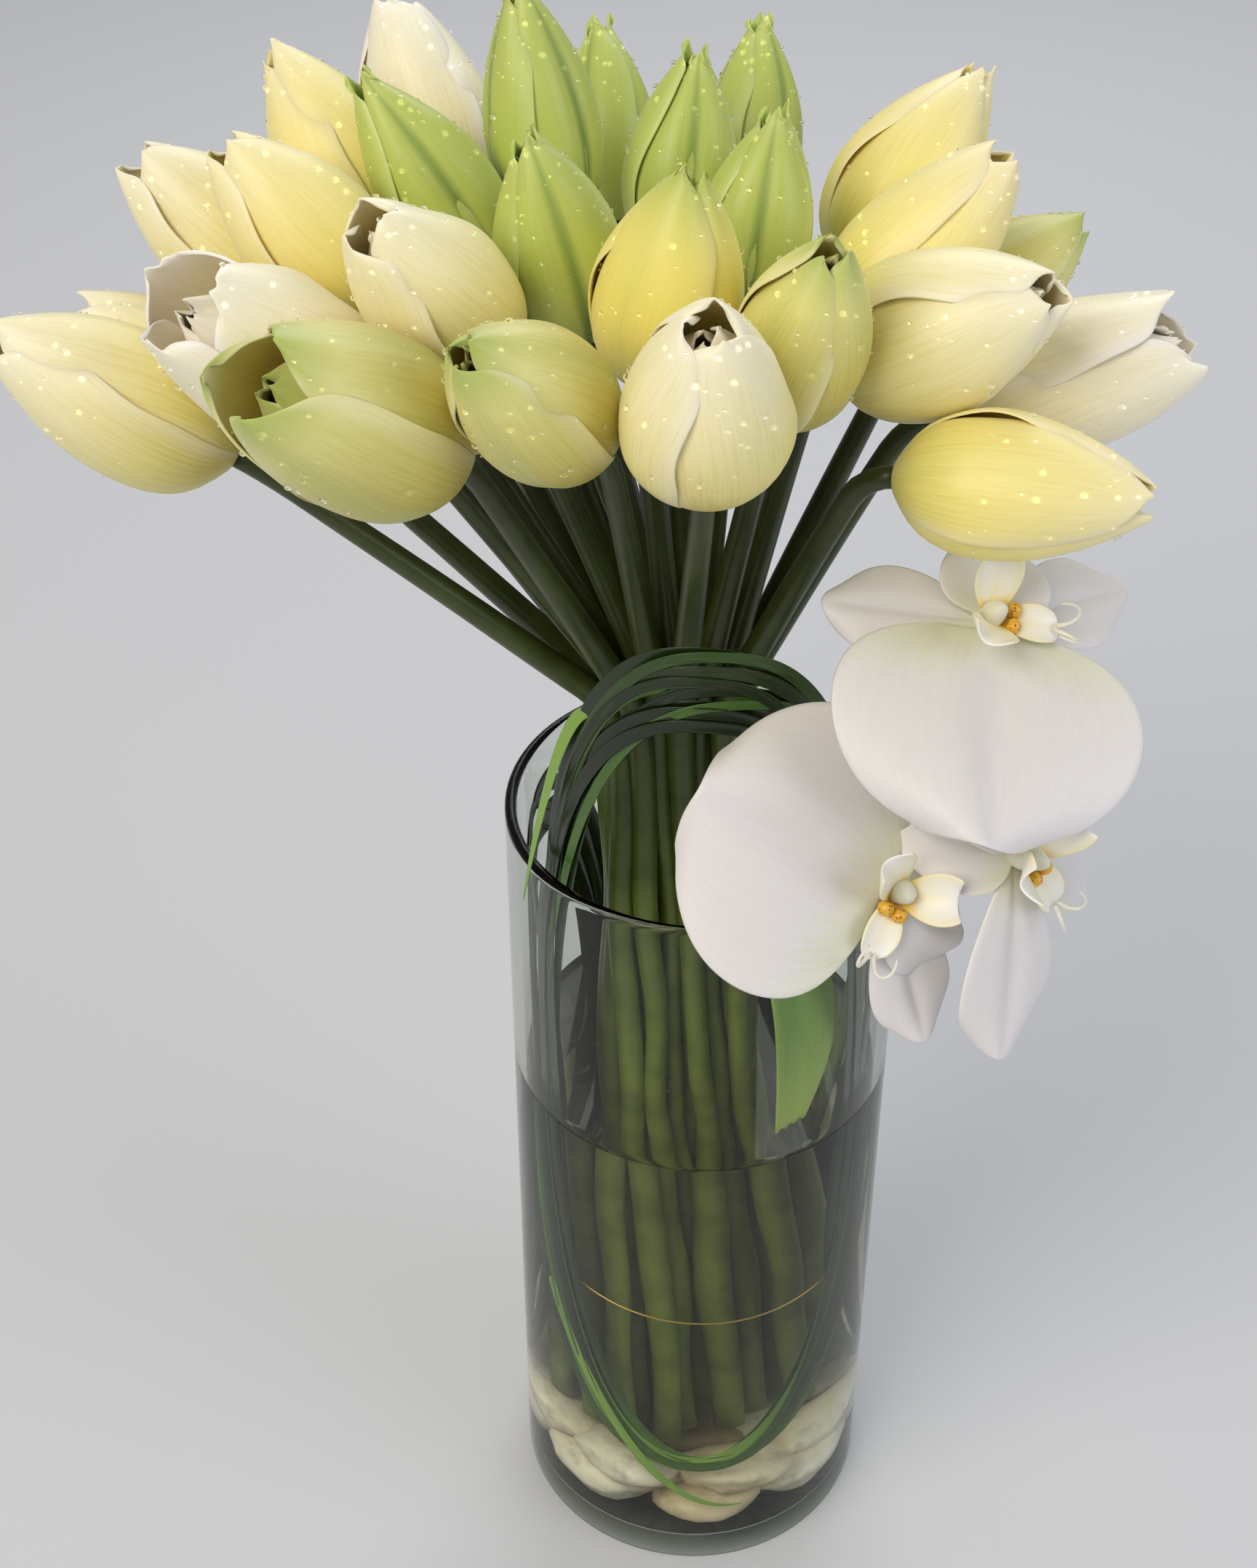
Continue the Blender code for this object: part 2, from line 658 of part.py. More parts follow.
def ribbon_rings(points, widths, closed):
    """Four-cornered rings of a flat blade that lies on the glass cylinder."""
    rings = []
    count = len(points)
    for i, point in enumerate(points):
        if closed:
            along = points[(i + 1) % count] - points[i - 1]
        else:
            along = points[min(i + 1, count - 1)] - points[max(i - 1, 0)]
        out = Vector((point.x, point.y, 0)).normalized()
        side = out.cross(along).normalized() * (widths[i] / 2)
        lift = side.cross(along).normalized() * (GRASS_THICKNESS / 2)
        rings.append([point - side - lift, point + side - lift, point + side + lift,
                      point - side + lift])
    return rings


def make_grass():
    pieces = []
    steps = 17
    for number, (half, top, foot, shift) in enumerate(GRASS_LOOPS):
        radius = COIL_RADIUS + number * 0.31 * MM
        middle, tall = (top + foot) / 2 * MM, (top - foot) / 2 * MM
        points = []
        for k in range(steps):
            angle = 2 * math.pi * (k + 0.5) / steps
            swing, rise = math.sin(angle), math.cos(angle)
            x = shift * MM + half * MM * math.copysign(abs(swing) ** 0.8, swing)
            z = middle + tall * math.copysign(abs(rise) ** 0.8, rise)
            points.append(coil_point(x, z, radius))
        bm = bmesh.new()
        add_rings(bm, ribbon_rings(points, [GRASS_WIDTH] * steps, True), closed=True)
        pieces.append(bm)
    # one loose end leaves the loops on the left and lies down across the stones
    loose = []
    for k in range(9):
        t = k / 8
        x = (-46 + 62 * t ** 1.15) * MM
        z = (118 - 92 * math.sin(t * math.pi / 2) ** 0.9) * MM
        loose.append(coil_point(x, z, COIL_RADIUS + (1.1 + 1.5 * min(1, t * 2)) * MM))
    bm = bmesh.new()
    add_rings(bm, ribbon_rings(loose, [GRASS_WIDTH * (1 - 0.06 * k) for k in range(9)], False))
    pieces.append(bm)
    return fuse("grass_loops", pieces, material("lily_grass", (0.10, 0.22, 0.05), 0.3))


# ---- orchids ----

def orchid_blade(length, width, heading, lift, height, rows, columns):
    """A petal, sepal or lip lobe on a narrow claw round the flower's centre, which faces +Z."""
    out = Vector((math.cos(heading), math.sin(heading), 0))
    side = Vector((-math.sin(heading), math.cos(heading), 0))

    def place(s, t):
        half = width / 2 * (0.12 + 2.6 * t - 1.9 * t * t - 0.4 * t ** 5)
        bow = lift * length * t - 0.16 * length * t * t - 0.10 * width * s * s * t
        return out * (length * (0.04 + 0.96 * t)) + side * (s * half) + Vector((0, 0, height + bow))
    bm = bmesh.new()
    add_blade(bm, place, rows, columns, ORCHID_BLADE)
    return bm


def orchid_frame(centre, facing, petal):
    facing = Vector(facing).normalized()
    petal = Vector(petal)
    petal = (petal - facing * petal.dot(facing)).normalized()
    turn = Matrix((petal, facing.cross(petal), facing)).transposed().to_4x4()
    return Matrix.Translation(Vector(centre) * MM) @ turn


def make_orchid(name, centre, facing, petal, blades):
    pieces = []
    core = bmesh.new()
    bmesh.ops.create_uvsphere(core, u_segments=6, v_segments=4, radius=ORCHID_CORE)
    pieces.append(core)
    for number, (turn, size, lift) in enumerate(blades):
        broad = number < 2
        length, width = ORCHID_PETAL if broad else ORCHID_SEPAL
        height = (1.6 - 1.1 * number) * MM
        pieces.append(orchid_blade(length * size, width * size, math.radians(turn), lift, height, 3,
                                   4 if broad else 2))
    length, width = ORCHID_LIP
    for turn, lift in ((270, 0.7), (170, 1.1), (10, 1.1)):
        pieces.append(orchid_blade(length, width, math.radians(turn), lift, 2.2 * MM, 2, 1))
    flower = fuse(name, pieces, material("orchid_petal", (0.80, 0.79, 0.80), 0.4))
    flower.matrix_world = orchid_frame(centre, facing, petal)
    return flower


STALK_FOOT = Vector((39, -7, 150)) * MM
STALK_RIM = Vector((52.6, -10.4, 300)) * MM


def make_stalk():
    """The spray's stalk leans on the rim, then sends one twig to the back of each flower."""
    backs = []
    for name, centre, facing, petal, blades in ORCHIDS:
        frame = orchid_frame(centre, facing, petal)
        backs.append((frame.translation, frame.col[2].xyz))
    (front, front_axis), (high, high_axis), (side, side_axis) = backs
    reach = ORCHID_CORE + GAP
    rise = (STALK_RIM - STALK_FOOT).normalized()
    high_end = high - high_axis * reach
    main = [STALK_FOOT, STALK_RIM]
    main += curve_points(STALK_RIM, STALK_RIM + rise * 40 * MM, high_end - high_axis * 26 * MM,
                         high_end, 7)
    pieces = []
    bm = bmesh.new()
    add_rings(bm, tube_rings(main, [STALK_RADIUS] * 6 + [TWIG_RADIUS] * 3, STALK_SIDES))
    pieces.append(bm)
    sag = Vector((0, 0, -14)) * MM
    for root, end, axis, pull in ((main[3], front, front_axis, 22), (main[4], side, side_axis, 30)):
        tip = end - axis * reach
        path = [root] + curve_points(root, root.lerp(tip, 0.3) + Vector((0, 0, 8)) * MM,
                                     tip - axis * pull * MM + sag, tip, 6)
        bm = bmesh.new()
        add_rings(bm, tube_rings(path, [TWIG_RADIUS] * len(path), STALK_SIDES))
        pieces.append(bm)
    return fuse("orchid_stalk", pieces, material("orchid_stalk", (0.25, 0.34, 0.10), 0.45))


def main():
    for old in list(bpy.data.objects):
        bpy.data.objects.remove(old)
    make_vase()
    make_stones()
    blooms = settle_blooms()
    for number, (row, (base, axis, balls)) in enumerate(zip(TULIPS, blooms)):
        make_bloom(row, base, axis, number)
    lines = stem_lines(blooms)
    make_stems(blooms, lines)
    make_water(lines, STALK_FOOT, STALK_RIM)
    make_grass()
    for row in ORCHIDS:
        make_orchid(*row)
    make_stalk()


main()
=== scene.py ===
# Cut tulips and a spray of white moth orchids in a clear glass cylinder, with looped grass blades,
# water and river stones. Metres, +Z up; sizes of the object are in millimetres times MM.
import itertools
import random
from math import copysign, cos, exp, pi, radians, sin, sqrt

import bmesh
import bpy
from mathutils import Matrix, Vector, noise


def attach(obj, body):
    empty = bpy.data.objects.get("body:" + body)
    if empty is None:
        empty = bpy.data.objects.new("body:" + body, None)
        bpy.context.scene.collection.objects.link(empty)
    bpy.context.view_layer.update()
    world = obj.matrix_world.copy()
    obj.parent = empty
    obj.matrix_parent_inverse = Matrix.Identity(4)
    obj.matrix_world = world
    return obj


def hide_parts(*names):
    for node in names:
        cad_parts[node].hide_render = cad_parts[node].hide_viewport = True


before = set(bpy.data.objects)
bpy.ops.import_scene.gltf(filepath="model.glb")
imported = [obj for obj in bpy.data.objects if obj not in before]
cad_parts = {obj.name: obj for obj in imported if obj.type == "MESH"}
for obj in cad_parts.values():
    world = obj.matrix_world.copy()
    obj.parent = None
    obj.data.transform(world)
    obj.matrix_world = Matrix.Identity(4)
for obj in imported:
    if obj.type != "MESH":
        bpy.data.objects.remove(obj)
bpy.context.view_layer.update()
MM = 0.001

# ---- camera ----
# An upright view from in front of the vase and above it, as of someone who stands over a low
# table. The plain view transform keeps the petals' pale tones as they are.
TILT_DOWN = 38.8
camera_data = bpy.data.cameras.new("camera")
camera_data.lens = 56.4
camera = bpy.data.objects.new("camera", camera_data)
camera.location = (-0.0231, -0.5673, 0.761)
camera.rotation_euler = (radians(90 - TILT_DOWN), 0, 0)
link = bpy.context.scene.collection.objects.link
link(camera)
bpy.context.scene.camera = camera
bpy.context.scene.view_settings.view_transform = "Standard"


# ---- floor and light ----
# A pale painted board to stand on, and the soft light of a large window on the left with a
# weaker bounce from the right and from behind.
def linear(code, alpha=1.0):
    """An sRGB hex colour as linear values."""
    parts = [int(code[i:i + 2], 16) / 255 for i in (1, 3, 5)]
    return tuple(c / 12.92 if c <= 0.04045 else ((c + 0.055) / 1.055) ** 2.4 for c in parts) + (alpha,)


def node(tree, kind, links=None, stops=None, **settings):
    """Add a shader node, with its settings, its ramp stops and what goes into its sockets.

    A node that is given for a socket stands for its own first output.
    """
    made = tree.nodes.new("ShaderNode" + kind)
    for key, value in settings.items():
        setattr(made, key, value)
    for key, value in (links or {}).items():
        if isinstance(value, bpy.types.Node):
            value = value.outputs[0]
        if isinstance(value, bpy.types.NodeSocket):
            tree.links.new(value, made.inputs[key])
        else:
            made.inputs[key].default_value = value
    if stops:
        ramp = made.color_ramp
        while len(ramp.elements) < len(stops):
            ramp.elements.new(1.0)
        for element, (place, code) in zip(ramp.elements, stops):
            element.position = place
            element.color = linear(code)
    return made


def finish_named(name):
    """A new material, and its node tree with nothing in it."""
    made = bpy.data.materials.new(name)
    made.use_nodes = True
    made.node_tree.nodes.clear()
    return made, made.node_tree


def add_object(name, bm, finish, smooth=True):
    """Make an object of a bmesh, with its finish, and smooth its faces."""
    for face in bm.faces:
        face.smooth = smooth or face.smooth
    mesh = bpy.data.meshes.new(name)
    bm.to_mesh(mesh)
    bm.free()
    mesh.materials.append(finish)
    made = bpy.data.objects.new(name, mesh)
    link(made)
    return made


# matt wall paint on board: pale cool grey, no gloss
board_paint, tree = finish_named("matt_board_paint")
surface = node(tree, "BsdfPrincipled", {"Base Color": linear("#d2d4d8"), "Roughness": 0.9})
node(tree, "OutputMaterial", {"Surface": surface})
bm = bmesh.new()
bmesh.ops.create_grid(bm, x_segments=1, y_segments=1, size=6)
floor = add_object("floor", bm, board_paint, smooth=False)

for name, place, size, power, tint in (
        ("window", (-1.0, -1.1, 1.7), 1.3, 26, "#fff6e8"),
        ("bounce_right", (1.3, -0.7, 1.0), 1.0, 8, "#f2f4ff"),
        ("bounce_back", (0.2, 1.3, 1.5), 1.2, 12, "#ffffff")):
    light_data = bpy.data.lights.new(name, "AREA")
    light_data.size = size
    light_data.energy = power
    light_data.color = linear(tint)[:3]
    light = bpy.data.objects.new(name, light_data)
    light.location = place
    aim = Vector((0, 0, 0.35)) - Vector(place)
    light.rotation_euler = aim.to_track_quat("-Z", "Y").to_euler()
    link(light)

world = bpy.data.worlds.new("room")
world.use_nodes = True
room_light = world.node_tree.nodes["Background"].inputs
room_light["Color"].default_value = linear("#f0f2f5")
room_light["Strength"].default_value = 0.34
bpy.context.scene.world = world


# ---- vase ----
# A straight florist's cylinder of clear soda-lime glass, drawn with a thick flat foot and a
# fire-polished rim, which is round all over.
VASE_RADIUS = 60 * MM
VASE_HEIGHT = 300 * MM
WALL = 3.5 * MM
FLOOR = 10 * MM
BORE = VASE_RADIUS - WALL


def turned(profile, steps):
    """Spin a profile of (radius, height) points round the vase's axis."""
    bm = bmesh.new()
    points = [bm.verts.new((radius, 0, z)) for radius, z in profile]
    edges = [bm.edges.new(pair) for pair in zip(points, points[1:])]
    bmesh.ops.spin(bm, geom=points + edges, angle=2 * pi, steps=steps, axis=(0, 0, 1),
                   cent=(0, 0, 0), use_merge=True)
    bmesh.ops.remove_doubles(bm, verts=bm.verts, dist=0.02 * MM)
    bmesh.ops.recalc_face_normals(bm, faces=bm.faces)
    return bm


def rounded(centre, radius, start, end, steps):
    """Points of a round corner in a profile, from one angle in degrees to another."""
    points = []
    for i in range(steps + 1):
        angle = radians(start + (end - start) * i / steps)
        points.append((centre[0] + radius * cos(angle), centre[1] + radius * sin(angle)))
    return points


def see_through(name, tint, shadow, ior, soak="#ffffff", density=0):
    """Something clear and smooth that lamps shine through; soak and density dim it with depth."""
    made, tree = finish_named(name)
    clear = node(tree, "BsdfPrincipled", {"Base Color": linear(tint), "Roughness": 0.0,
                                          "IOR": ior, "Transmission Weight": 1.0})
    lamps = node(tree, "BsdfTransparent", {"Color": linear(shadow)})
    path = node(tree, "LightPath")
    ends = {"Surface": node(tree, "MixShader", {0: path.outputs["Is Shadow Ray"], 1: clear, 2: lamps})}
    if density:
        ends["Volume"] = node(tree, "VolumeAbsorption", {"Color": linear(soak), "Density": density})
    node(tree, "OutputMaterial", ends)
    return made


# soda-lime glass, fire polished: clear, olive grey where the wall is seen edge on. Its IOR is
# matched below the usual 1.5, at which the pale floor hangs in the wall as a haze
glass = see_through("soda_lime_glass", "#f4f8f2", "#f4f8f4", 1.26, "#5a5a44", 30)

# each round corner has a ring a millimetre from it, so that the long straight wall stays straight
foot_round = 2.5 * MM
lip = WALL / 2
ring = 1 * MM
profile = [(0, 0), (VASE_RADIUS - foot_round - ring, 0)]
profile += rounded((VASE_RADIUS - foot_round, foot_round), foot_round, -90, 0, 5)
profile += [(VASE_RADIUS, foot_round + ring), (VASE_RADIUS, VASE_HEIGHT - lip - ring)]
profile += rounded((VASE_RADIUS - lip, VASE_HEIGHT - lip), lip, 0, 180, 8)
profile += [(BORE, VASE_HEIGHT - lip - ring), (BORE, FLOOR + foot_round + ring)]
profile += rounded((BORE - foot_round, FLOOR + foot_round), foot_round, 0, -90, 5)
profile += [(BORE - foot_round - ring, FLOOR), (0, FLOOR)]
vase = add_object("vase_glass", turned(profile, 96), glass)
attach(vase, "root")
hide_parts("vase")


# ---- water ----
# Tap water two thirds up the glass, a little green from the cut stems. It climbs the wall by
# two millimetres at its edge.
WATER_TOP = 198 * MM
soaked = 0.1 * MM                     # the water's skin lies this deep in the glass
wet, bed = BORE + soaked, FLOOR - soaked
profile = [(0, bed), (wet - foot_round - ring, bed),
           (wet - foot_round, bed), (wet - 0.9 * MM, FLOOR + 0.8 * MM),
           (wet, FLOOR + foot_round), (wet, FLOOR + foot_round + ring),
           (wet, WATER_TOP + 1.2 * MM), (wet, WATER_TOP + 2.2 * MM),
           (wet - 0.4 * MM, WATER_TOP + 1.3 * MM), (wet - 1.2 * MM, WATER_TOP + 0.6 * MM),
           (wet - 2.6 * MM, WATER_TOP + 0.2 * MM), (wet - 4.5 * MM, WATER_TOP), (0, WATER_TOP)]

# water: bends light as water does, and soaks it up as a dull olive over a hand's width
still_water = see_through("still_water", "#ffffff", "#ffffff", 1.333, "#a39d62", 10)
water = add_object("water_body", turned(profile, 96), still_water)
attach(water, "root")
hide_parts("water")


# ---- river stones ----
# Tumbled white and beige river pebbles, two layers of them on the vase's floor. They are worn
# smooth, a little lumpy, and no two are the same tone.
STONE_RINGS = [                      # height, ring radius (mm), stones, half length and height
    (20.4, 36.4, 7, 17.6, 10.0),
    (20.6, 10.0, 3, 15.0, 10.0),
    (33.0, 36.6, 7, 17.4, 8.6),
    (32.8, 10.0, 3, 14.5, 8.8),
]
draw = random.Random(7)
bm = bmesh.new()
tones = bm.verts.layers.float.new("tone")
for z, ring, count, half, thick in STONE_RINGS:
    start = draw.random()
    for k in range(count):
        angle = 2 * pi * (k + start) / count
        turn = Matrix.Rotation(angle + draw.uniform(-0.15, 0.15), 4, "Z")
        tilt = Matrix.Rotation(draw.uniform(-0.08, 0.08), 4, "Y")
        size = Matrix.Diagonal((half * draw.uniform(0.9, 0.98), half, thick, 1))
        move = Matrix.Translation(Vector((ring * cos(angle), ring * sin(angle), z)))
        made = bmesh.ops.create_icosphere(bm, subdivisions=3, radius=1)["verts"]
        seed = Vector((draw.uniform(0, 50), draw.uniform(0, 50), draw.uniform(0, 50)))
        tone = draw.random()
        for vert in made:
            lump = 0.30 * noise.noise(vert.co * 1.2 + seed) + 0.08 * noise.noise(vert.co * 3 + seed)
            vert.co *= 0.99 + lump
            vert[tones] = tone
        bmesh.ops.transform(bm, matrix=Matrix.Scale(MM, 4) @ move @ turn @ tilt @ size, verts=made)

# river pebble, tumbled quartz and limestone: chalky white to beige with faint darker veins
pebble, tree = finish_named("tumbled_river_pebble")
tone = node(tree, "Attribute", attribute_name="tone")
place = node(tree, "TexCoord")
cloud = node(tree, "TexNoise", {"Vector": place.outputs["Object"], "Scale": 90.0, "Detail": 6.0,
                                "Roughness": 0.6})
base = node(tree, "ValToRGB", {"Fac": tone.outputs["Fac"]},
            stops=[(0.0, "#fff6e8"), (0.45, "#f8f0e6"), (0.7, "#f0dfc4"), (0.88, "#cdb694"),
                   (1.0, "#96805e")])
vein = node(tree, "ValToRGB", {"Fac": cloud}, stops=[(0.35, "#b8ad98"), (0.5, "#ffffff"),
        (0.75, "#e6dfd0")])
colour = node(tree, "Mix", {0: 0.6, 6: base, 7: vein}, data_type="RGBA", blend_type="MULTIPLY")
grain = node(tree, "TexNoise", {"Vector": place.outputs["Object"], "Scale": 900.0, "Detail": 3.0})
pits = node(tree, "Bump", {"Height": grain, "Strength": 0.25, "Distance": 0.3 * MM})
surface = node(tree, "BsdfPrincipled",
               {"Base Color": colour.outputs[2], "Roughness": 0.5, "Normal": pits})
node(tree, "OutputMaterial", {"Surface": surface})
pebbles = add_object("pebbles", bm, pebble)
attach(pebbles, "root")
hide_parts("river_stones")


# ---- tulip blooms ----
# Cut tulips in soft yellow, cream, lime and white, and green buds that have not coloured yet.
# Each has three outer and three inner petals on a bare stem. Where two blooms press together,
# both give way a little.
BELLY = 0.38
SQUEEZE = 0.97
TULIPS = [
    ("tulip_01_far_left", (-112, -18, 434), 185, 57, 70, 40, 0.35, "cream"),
    ("tulip_02_left_under", (-114, 16, 422), 176, 60, 64, 34, 0.30, "cream"),
    ("tulip_03_left_high", (-110, 36, 436), 172, 44, 66, 38, 0.45, "cream"),
    ("tulip_04_left_white", (-90, -16, 426), 214, 47, 78, 44, 0.75, "white"),
    ("tulip_05_left_front", (-58, -38, 452), 225, 52, 76, 46, 0.75, "lime"),
    ("tulip_06_left_gold", (-86, 14, 450), 178, 38, 64, 38, 0.35, "yellow"),
    ("tulip_07_back_left", (-84, 52, 448), 152, 38, 68, 38, 0.10, "yellow"),
    ("tulip_08_back_white", (-68, 88, 444), 128, 38, 64, 38, 0.50, "white"),
    ("tulip_09_green_left", (-58, 34, 452), 172, 32, 66, 32, 0.00, "green"),
    ("tulip_10_mid_left", (-52, -10, 454), 218, 36, 62, 38, 0.45, "cream"),
    ("tulip_11_front_left", (-34, -46, 446), 230, 46, 64, 37, 0.25, "lime"),
    ("tulip_12_green_front", (-40, 2, 446), 200, 14, 62, 35, 0.05, "green"),
    ("tulip_13_green_tall", (-42, 48, 460), 140, 12, 68, 32, 0.00, "green"),
    ("tulip_14_green_back", (-26, 92, 440), 100, 34, 60, 30, 0.00, "green"),
    ("tulip_15_green_mid", (-12, 52, 448), 62, 16, 60, 32, 0.00, "green"),
    ("tulip_16_green_back", (10, 88, 442), 82, 34, 60, 30, 0.00, "green"),
    ("tulip_17_centre", (-18, -16, 448), 330, 10, 64, 39, 0.10, "yellow"),
    ("tulip_18_green_right", (6, 20, 446), 50, 14, 60, 32, 0.00, "green"),
    ("tulip_19_front_white", (-14, -52, 446), 268, 20, 58, 42, 0.35, "cream"),
    ("tulip_20_front_right", (10, -38, 448), 306, 20, 58, 35, 0.20, "lime"),
    ("tulip_21_back_right", (36, 54, 444), 32, 42, 68, 38, 0.10, "yellow"),
    ("tulip_22_right_high", (32, 14, 442), 10, 40, 68, 38, 0.35, "yellow"),
    ("tulip_23_right_lime", (56, 34, 432), 22, 60, 58, 34, 0.20, "lime"),
    ("tulip_24_right_cream", (30, -12, 444), 330, 58, 68, 43, 0.30, "cream"),
    ("tulip_25_far_right", (58, 6, 426), 352, 66, 72, 42, 0.75, "white"),
    ("tulip_26_right_low", (42, -34, 442), 338, 83, 66, 38, 0.30, "yellow"),
    ("tulip_27_behind_left", (-52, 116, 414), 108, 66, 58, 36, 0.30, "cream"),
    ("tulip_28_behind_right", (8, 120, 414), 76, 66, 58, 36, 0.20, "lime"),
]
# what sets the colours apart: how far the petals' edges ruffle (mm), how broad a petal still is
# at its tip and how blunt, how deep its midrib lies (mm), and how far a petal may fall open
PETAL_LOOKS = {
    "cream": (0.9, 0.10, 0.62, 0.5, 0.10),
    "white": (1.9, 0.22, 0.52, 0.6, 0.20),
    "yellow": (0.6, 0.06, 0.68, 0.7, 0.05),
    "lime": (0.7, 0.08, 0.64, 0.9, 0.06),
    "green": (0.3, 0.02, 0.80, 2.4, 0.0),
}
STEM_TOP_RADIUS = 2.9 * MM
SHOULDER = 0.42                      # how far up a petal is at its broadest
LAP = 0.9 * MM                       # how far a petal's two edges lie outside and inside
HALF_SPAN = radians(66)              # how far round the cup a petal goes at its shoulder,
WIDEST_SPAN = radians(82)            # and where the cup is narrow


def cup_radius(t, openness):
    """Radius of a tulip cup at station t, as a share of its half girth."""
    if t < BELLY:
        return sqrt(1 - (1 - t / BELLY) ** 2)
    fall = ((t - BELLY) / (1 - BELLY)) ** 2
    return 1 - (0.84 - 0.95 * openness) * fall


def axis_of(heading, lean):
    """The way a bloom points, from its compass heading and its lean from upright in degrees."""
    heading, lean = radians(heading), radians(lean)
    return Vector((sin(lean) * cos(heading), sin(lean) * sin(heading), cos(lean)))


def settle_blooms():
    """Press the blooms apart until none lies inside a neighbour; gives base, axis and balls."""
    blooms = []
    for name, base, heading, lean, length, girth, openness, colour in TULIPS:
        axis = axis_of(heading, lean)
        balls = [(axis * (t * length * MM), cup_radius(t, openness) * girth / 2 * MM * SQUEEZE)
                 for t in (0.18, 0.38, 0.6, 0.82)]
        blooms.append([Vector(base) * MM, axis, balls])
    for step in range(160):
        hold = 0.05 if step < 120 else 0.0
        for bloom, row in zip(blooms, TULIPS):
            bloom[0] += (Vector(row[1]) * MM - bloom[0]) * hold
        for one, two in itertools.combinations(blooms, 2):
            push = Vector()
            for (a, ra), (b, rb) in itertools.product(one[2], two[2]):
                apart = two[0] + b - one[0] - a
                overlap = ra + rb - apart.length
                if overlap > push.length:
                    push = apart.normalized() * overlap
            one[0] -= push * 0.5
            two[0] += push * 0.5
    return blooms


def tulip_petal(bloom, turn, inset, look, draw):
    """Gives the place of a petal's points: s from -1 to 1 across it, t from 0 to 1 up it."""
    length, half, openness = bloom
    ruffle, tip, blunt, groove, fall_open = look
    outer = inset > 0.95
    # the petals press towards the middle, the inner three more than the outer
    openness *= 0.60 if outer else 0.12
    press = 0.13 if outer else 0.19
    flare = draw.uniform(0.2, 1.0) * fall_open * (0.5 + openness)
    twist = draw.uniform(-0.08, 0.08)
    reach = draw.uniform(0.96, 1.02) * (1.0 if outer else 0.93)
    wave, beat, frill = (draw.uniform(0, 2 * pi) for _ in range(3))
    count = draw.uniform(1.3, 2.1)

    def place(s, t):
        t *= 1.5 - 0.5 * t               # rows lie closer together towards the rounded tip
        u = max(0.0, (t - SHOULDER) / (1 - SHOULDER))
        if t < SHOULDER:
            wide = 0.45 + 0.55 * sin(pi / 2 * t / SHOULDER)
        else:
            wide = tip + (1 - tip) * (1 - min(1.0, u) ** 2.6) ** blunt
        edge = abs(s) ** 1.8
        soft = min(1.0, t / 0.35)
        ripple = sin(wave + 2 * pi * count * t + 1.3 * s)
        h = t * reach * (1 - 0.05 * abs(s) ** 2.2 * t * t)
        h += 0.008 * ruffle * sin(frill + 7 * s) * t ** 6
        fall = max(0.0, (t - BELLY) / (1 - BELLY)) ** 2
        radius = half * inset * (cup_radius(t, openness) - press * fall)
        radius += half * flare * u ** 2
        radius += ruffle * MM * edge * ripple * soft
        radius += 0.3 * ruffle * MM * sin(beat + 5 * s + 4 * t) * u
        radius -= 0.04 * half * edge * soft
        crease = 0.16 if groove > 2 else 0.12
        radius -= groove * MM * exp(-(s / crease) ** 2) * sin(pi * min(1, t * 1.02))
        radius = max(radius, STEM_TOP_RADIUS * (1.15 if outer else 0.8))
        # one edge lies over the next petal and the other under it
        radius += LAP * s * soft
        # where the cup narrows, a petal goes round more of it
        span = min(WIDEST_SPAN, half * HALF_SPAN * wide / max(radius, 0.3 * half))
        angle = turn + twist * t + s * span
        return Vector((radius * cos(angle), radius * sin(angle), length * h))
    return place


def sheet_mesh():
    """An empty bmesh with the map that sheets are laid out on."""
    bm = bmesh.new()
    bm.loops.layers.uv.new("lay")
    return bm


def sheet(bm, place, across, along, frame_of):
    """Lay a grid of faces out by a place function and stand it in its frame."""
    made = bmesh.ops.create_grid(bm, x_segments=across, y_segments=along, size=1,
                                 calc_uvs=True)["verts"]
    for vert in made:
        vert.co = frame_of @ place(vert.co.x, (vert.co.y + 1) / 2)
    return made


def thicken(piece, thickness, inner_slot=0, levels=1):
    """Give a sheet its thickness inwards, then round it with one subdivision."""
    wall = piece.modifiers.new("thickness", "SOLIDIFY")
    wall.thickness = thickness
    wall.offset = -1
    wall.material_offset = inner_slot
    wall.use_even_offset = False
    round_off = piece.modifiers.new("rounding", "SUBSURF")
    round_off.levels = round_off.render_levels = levels


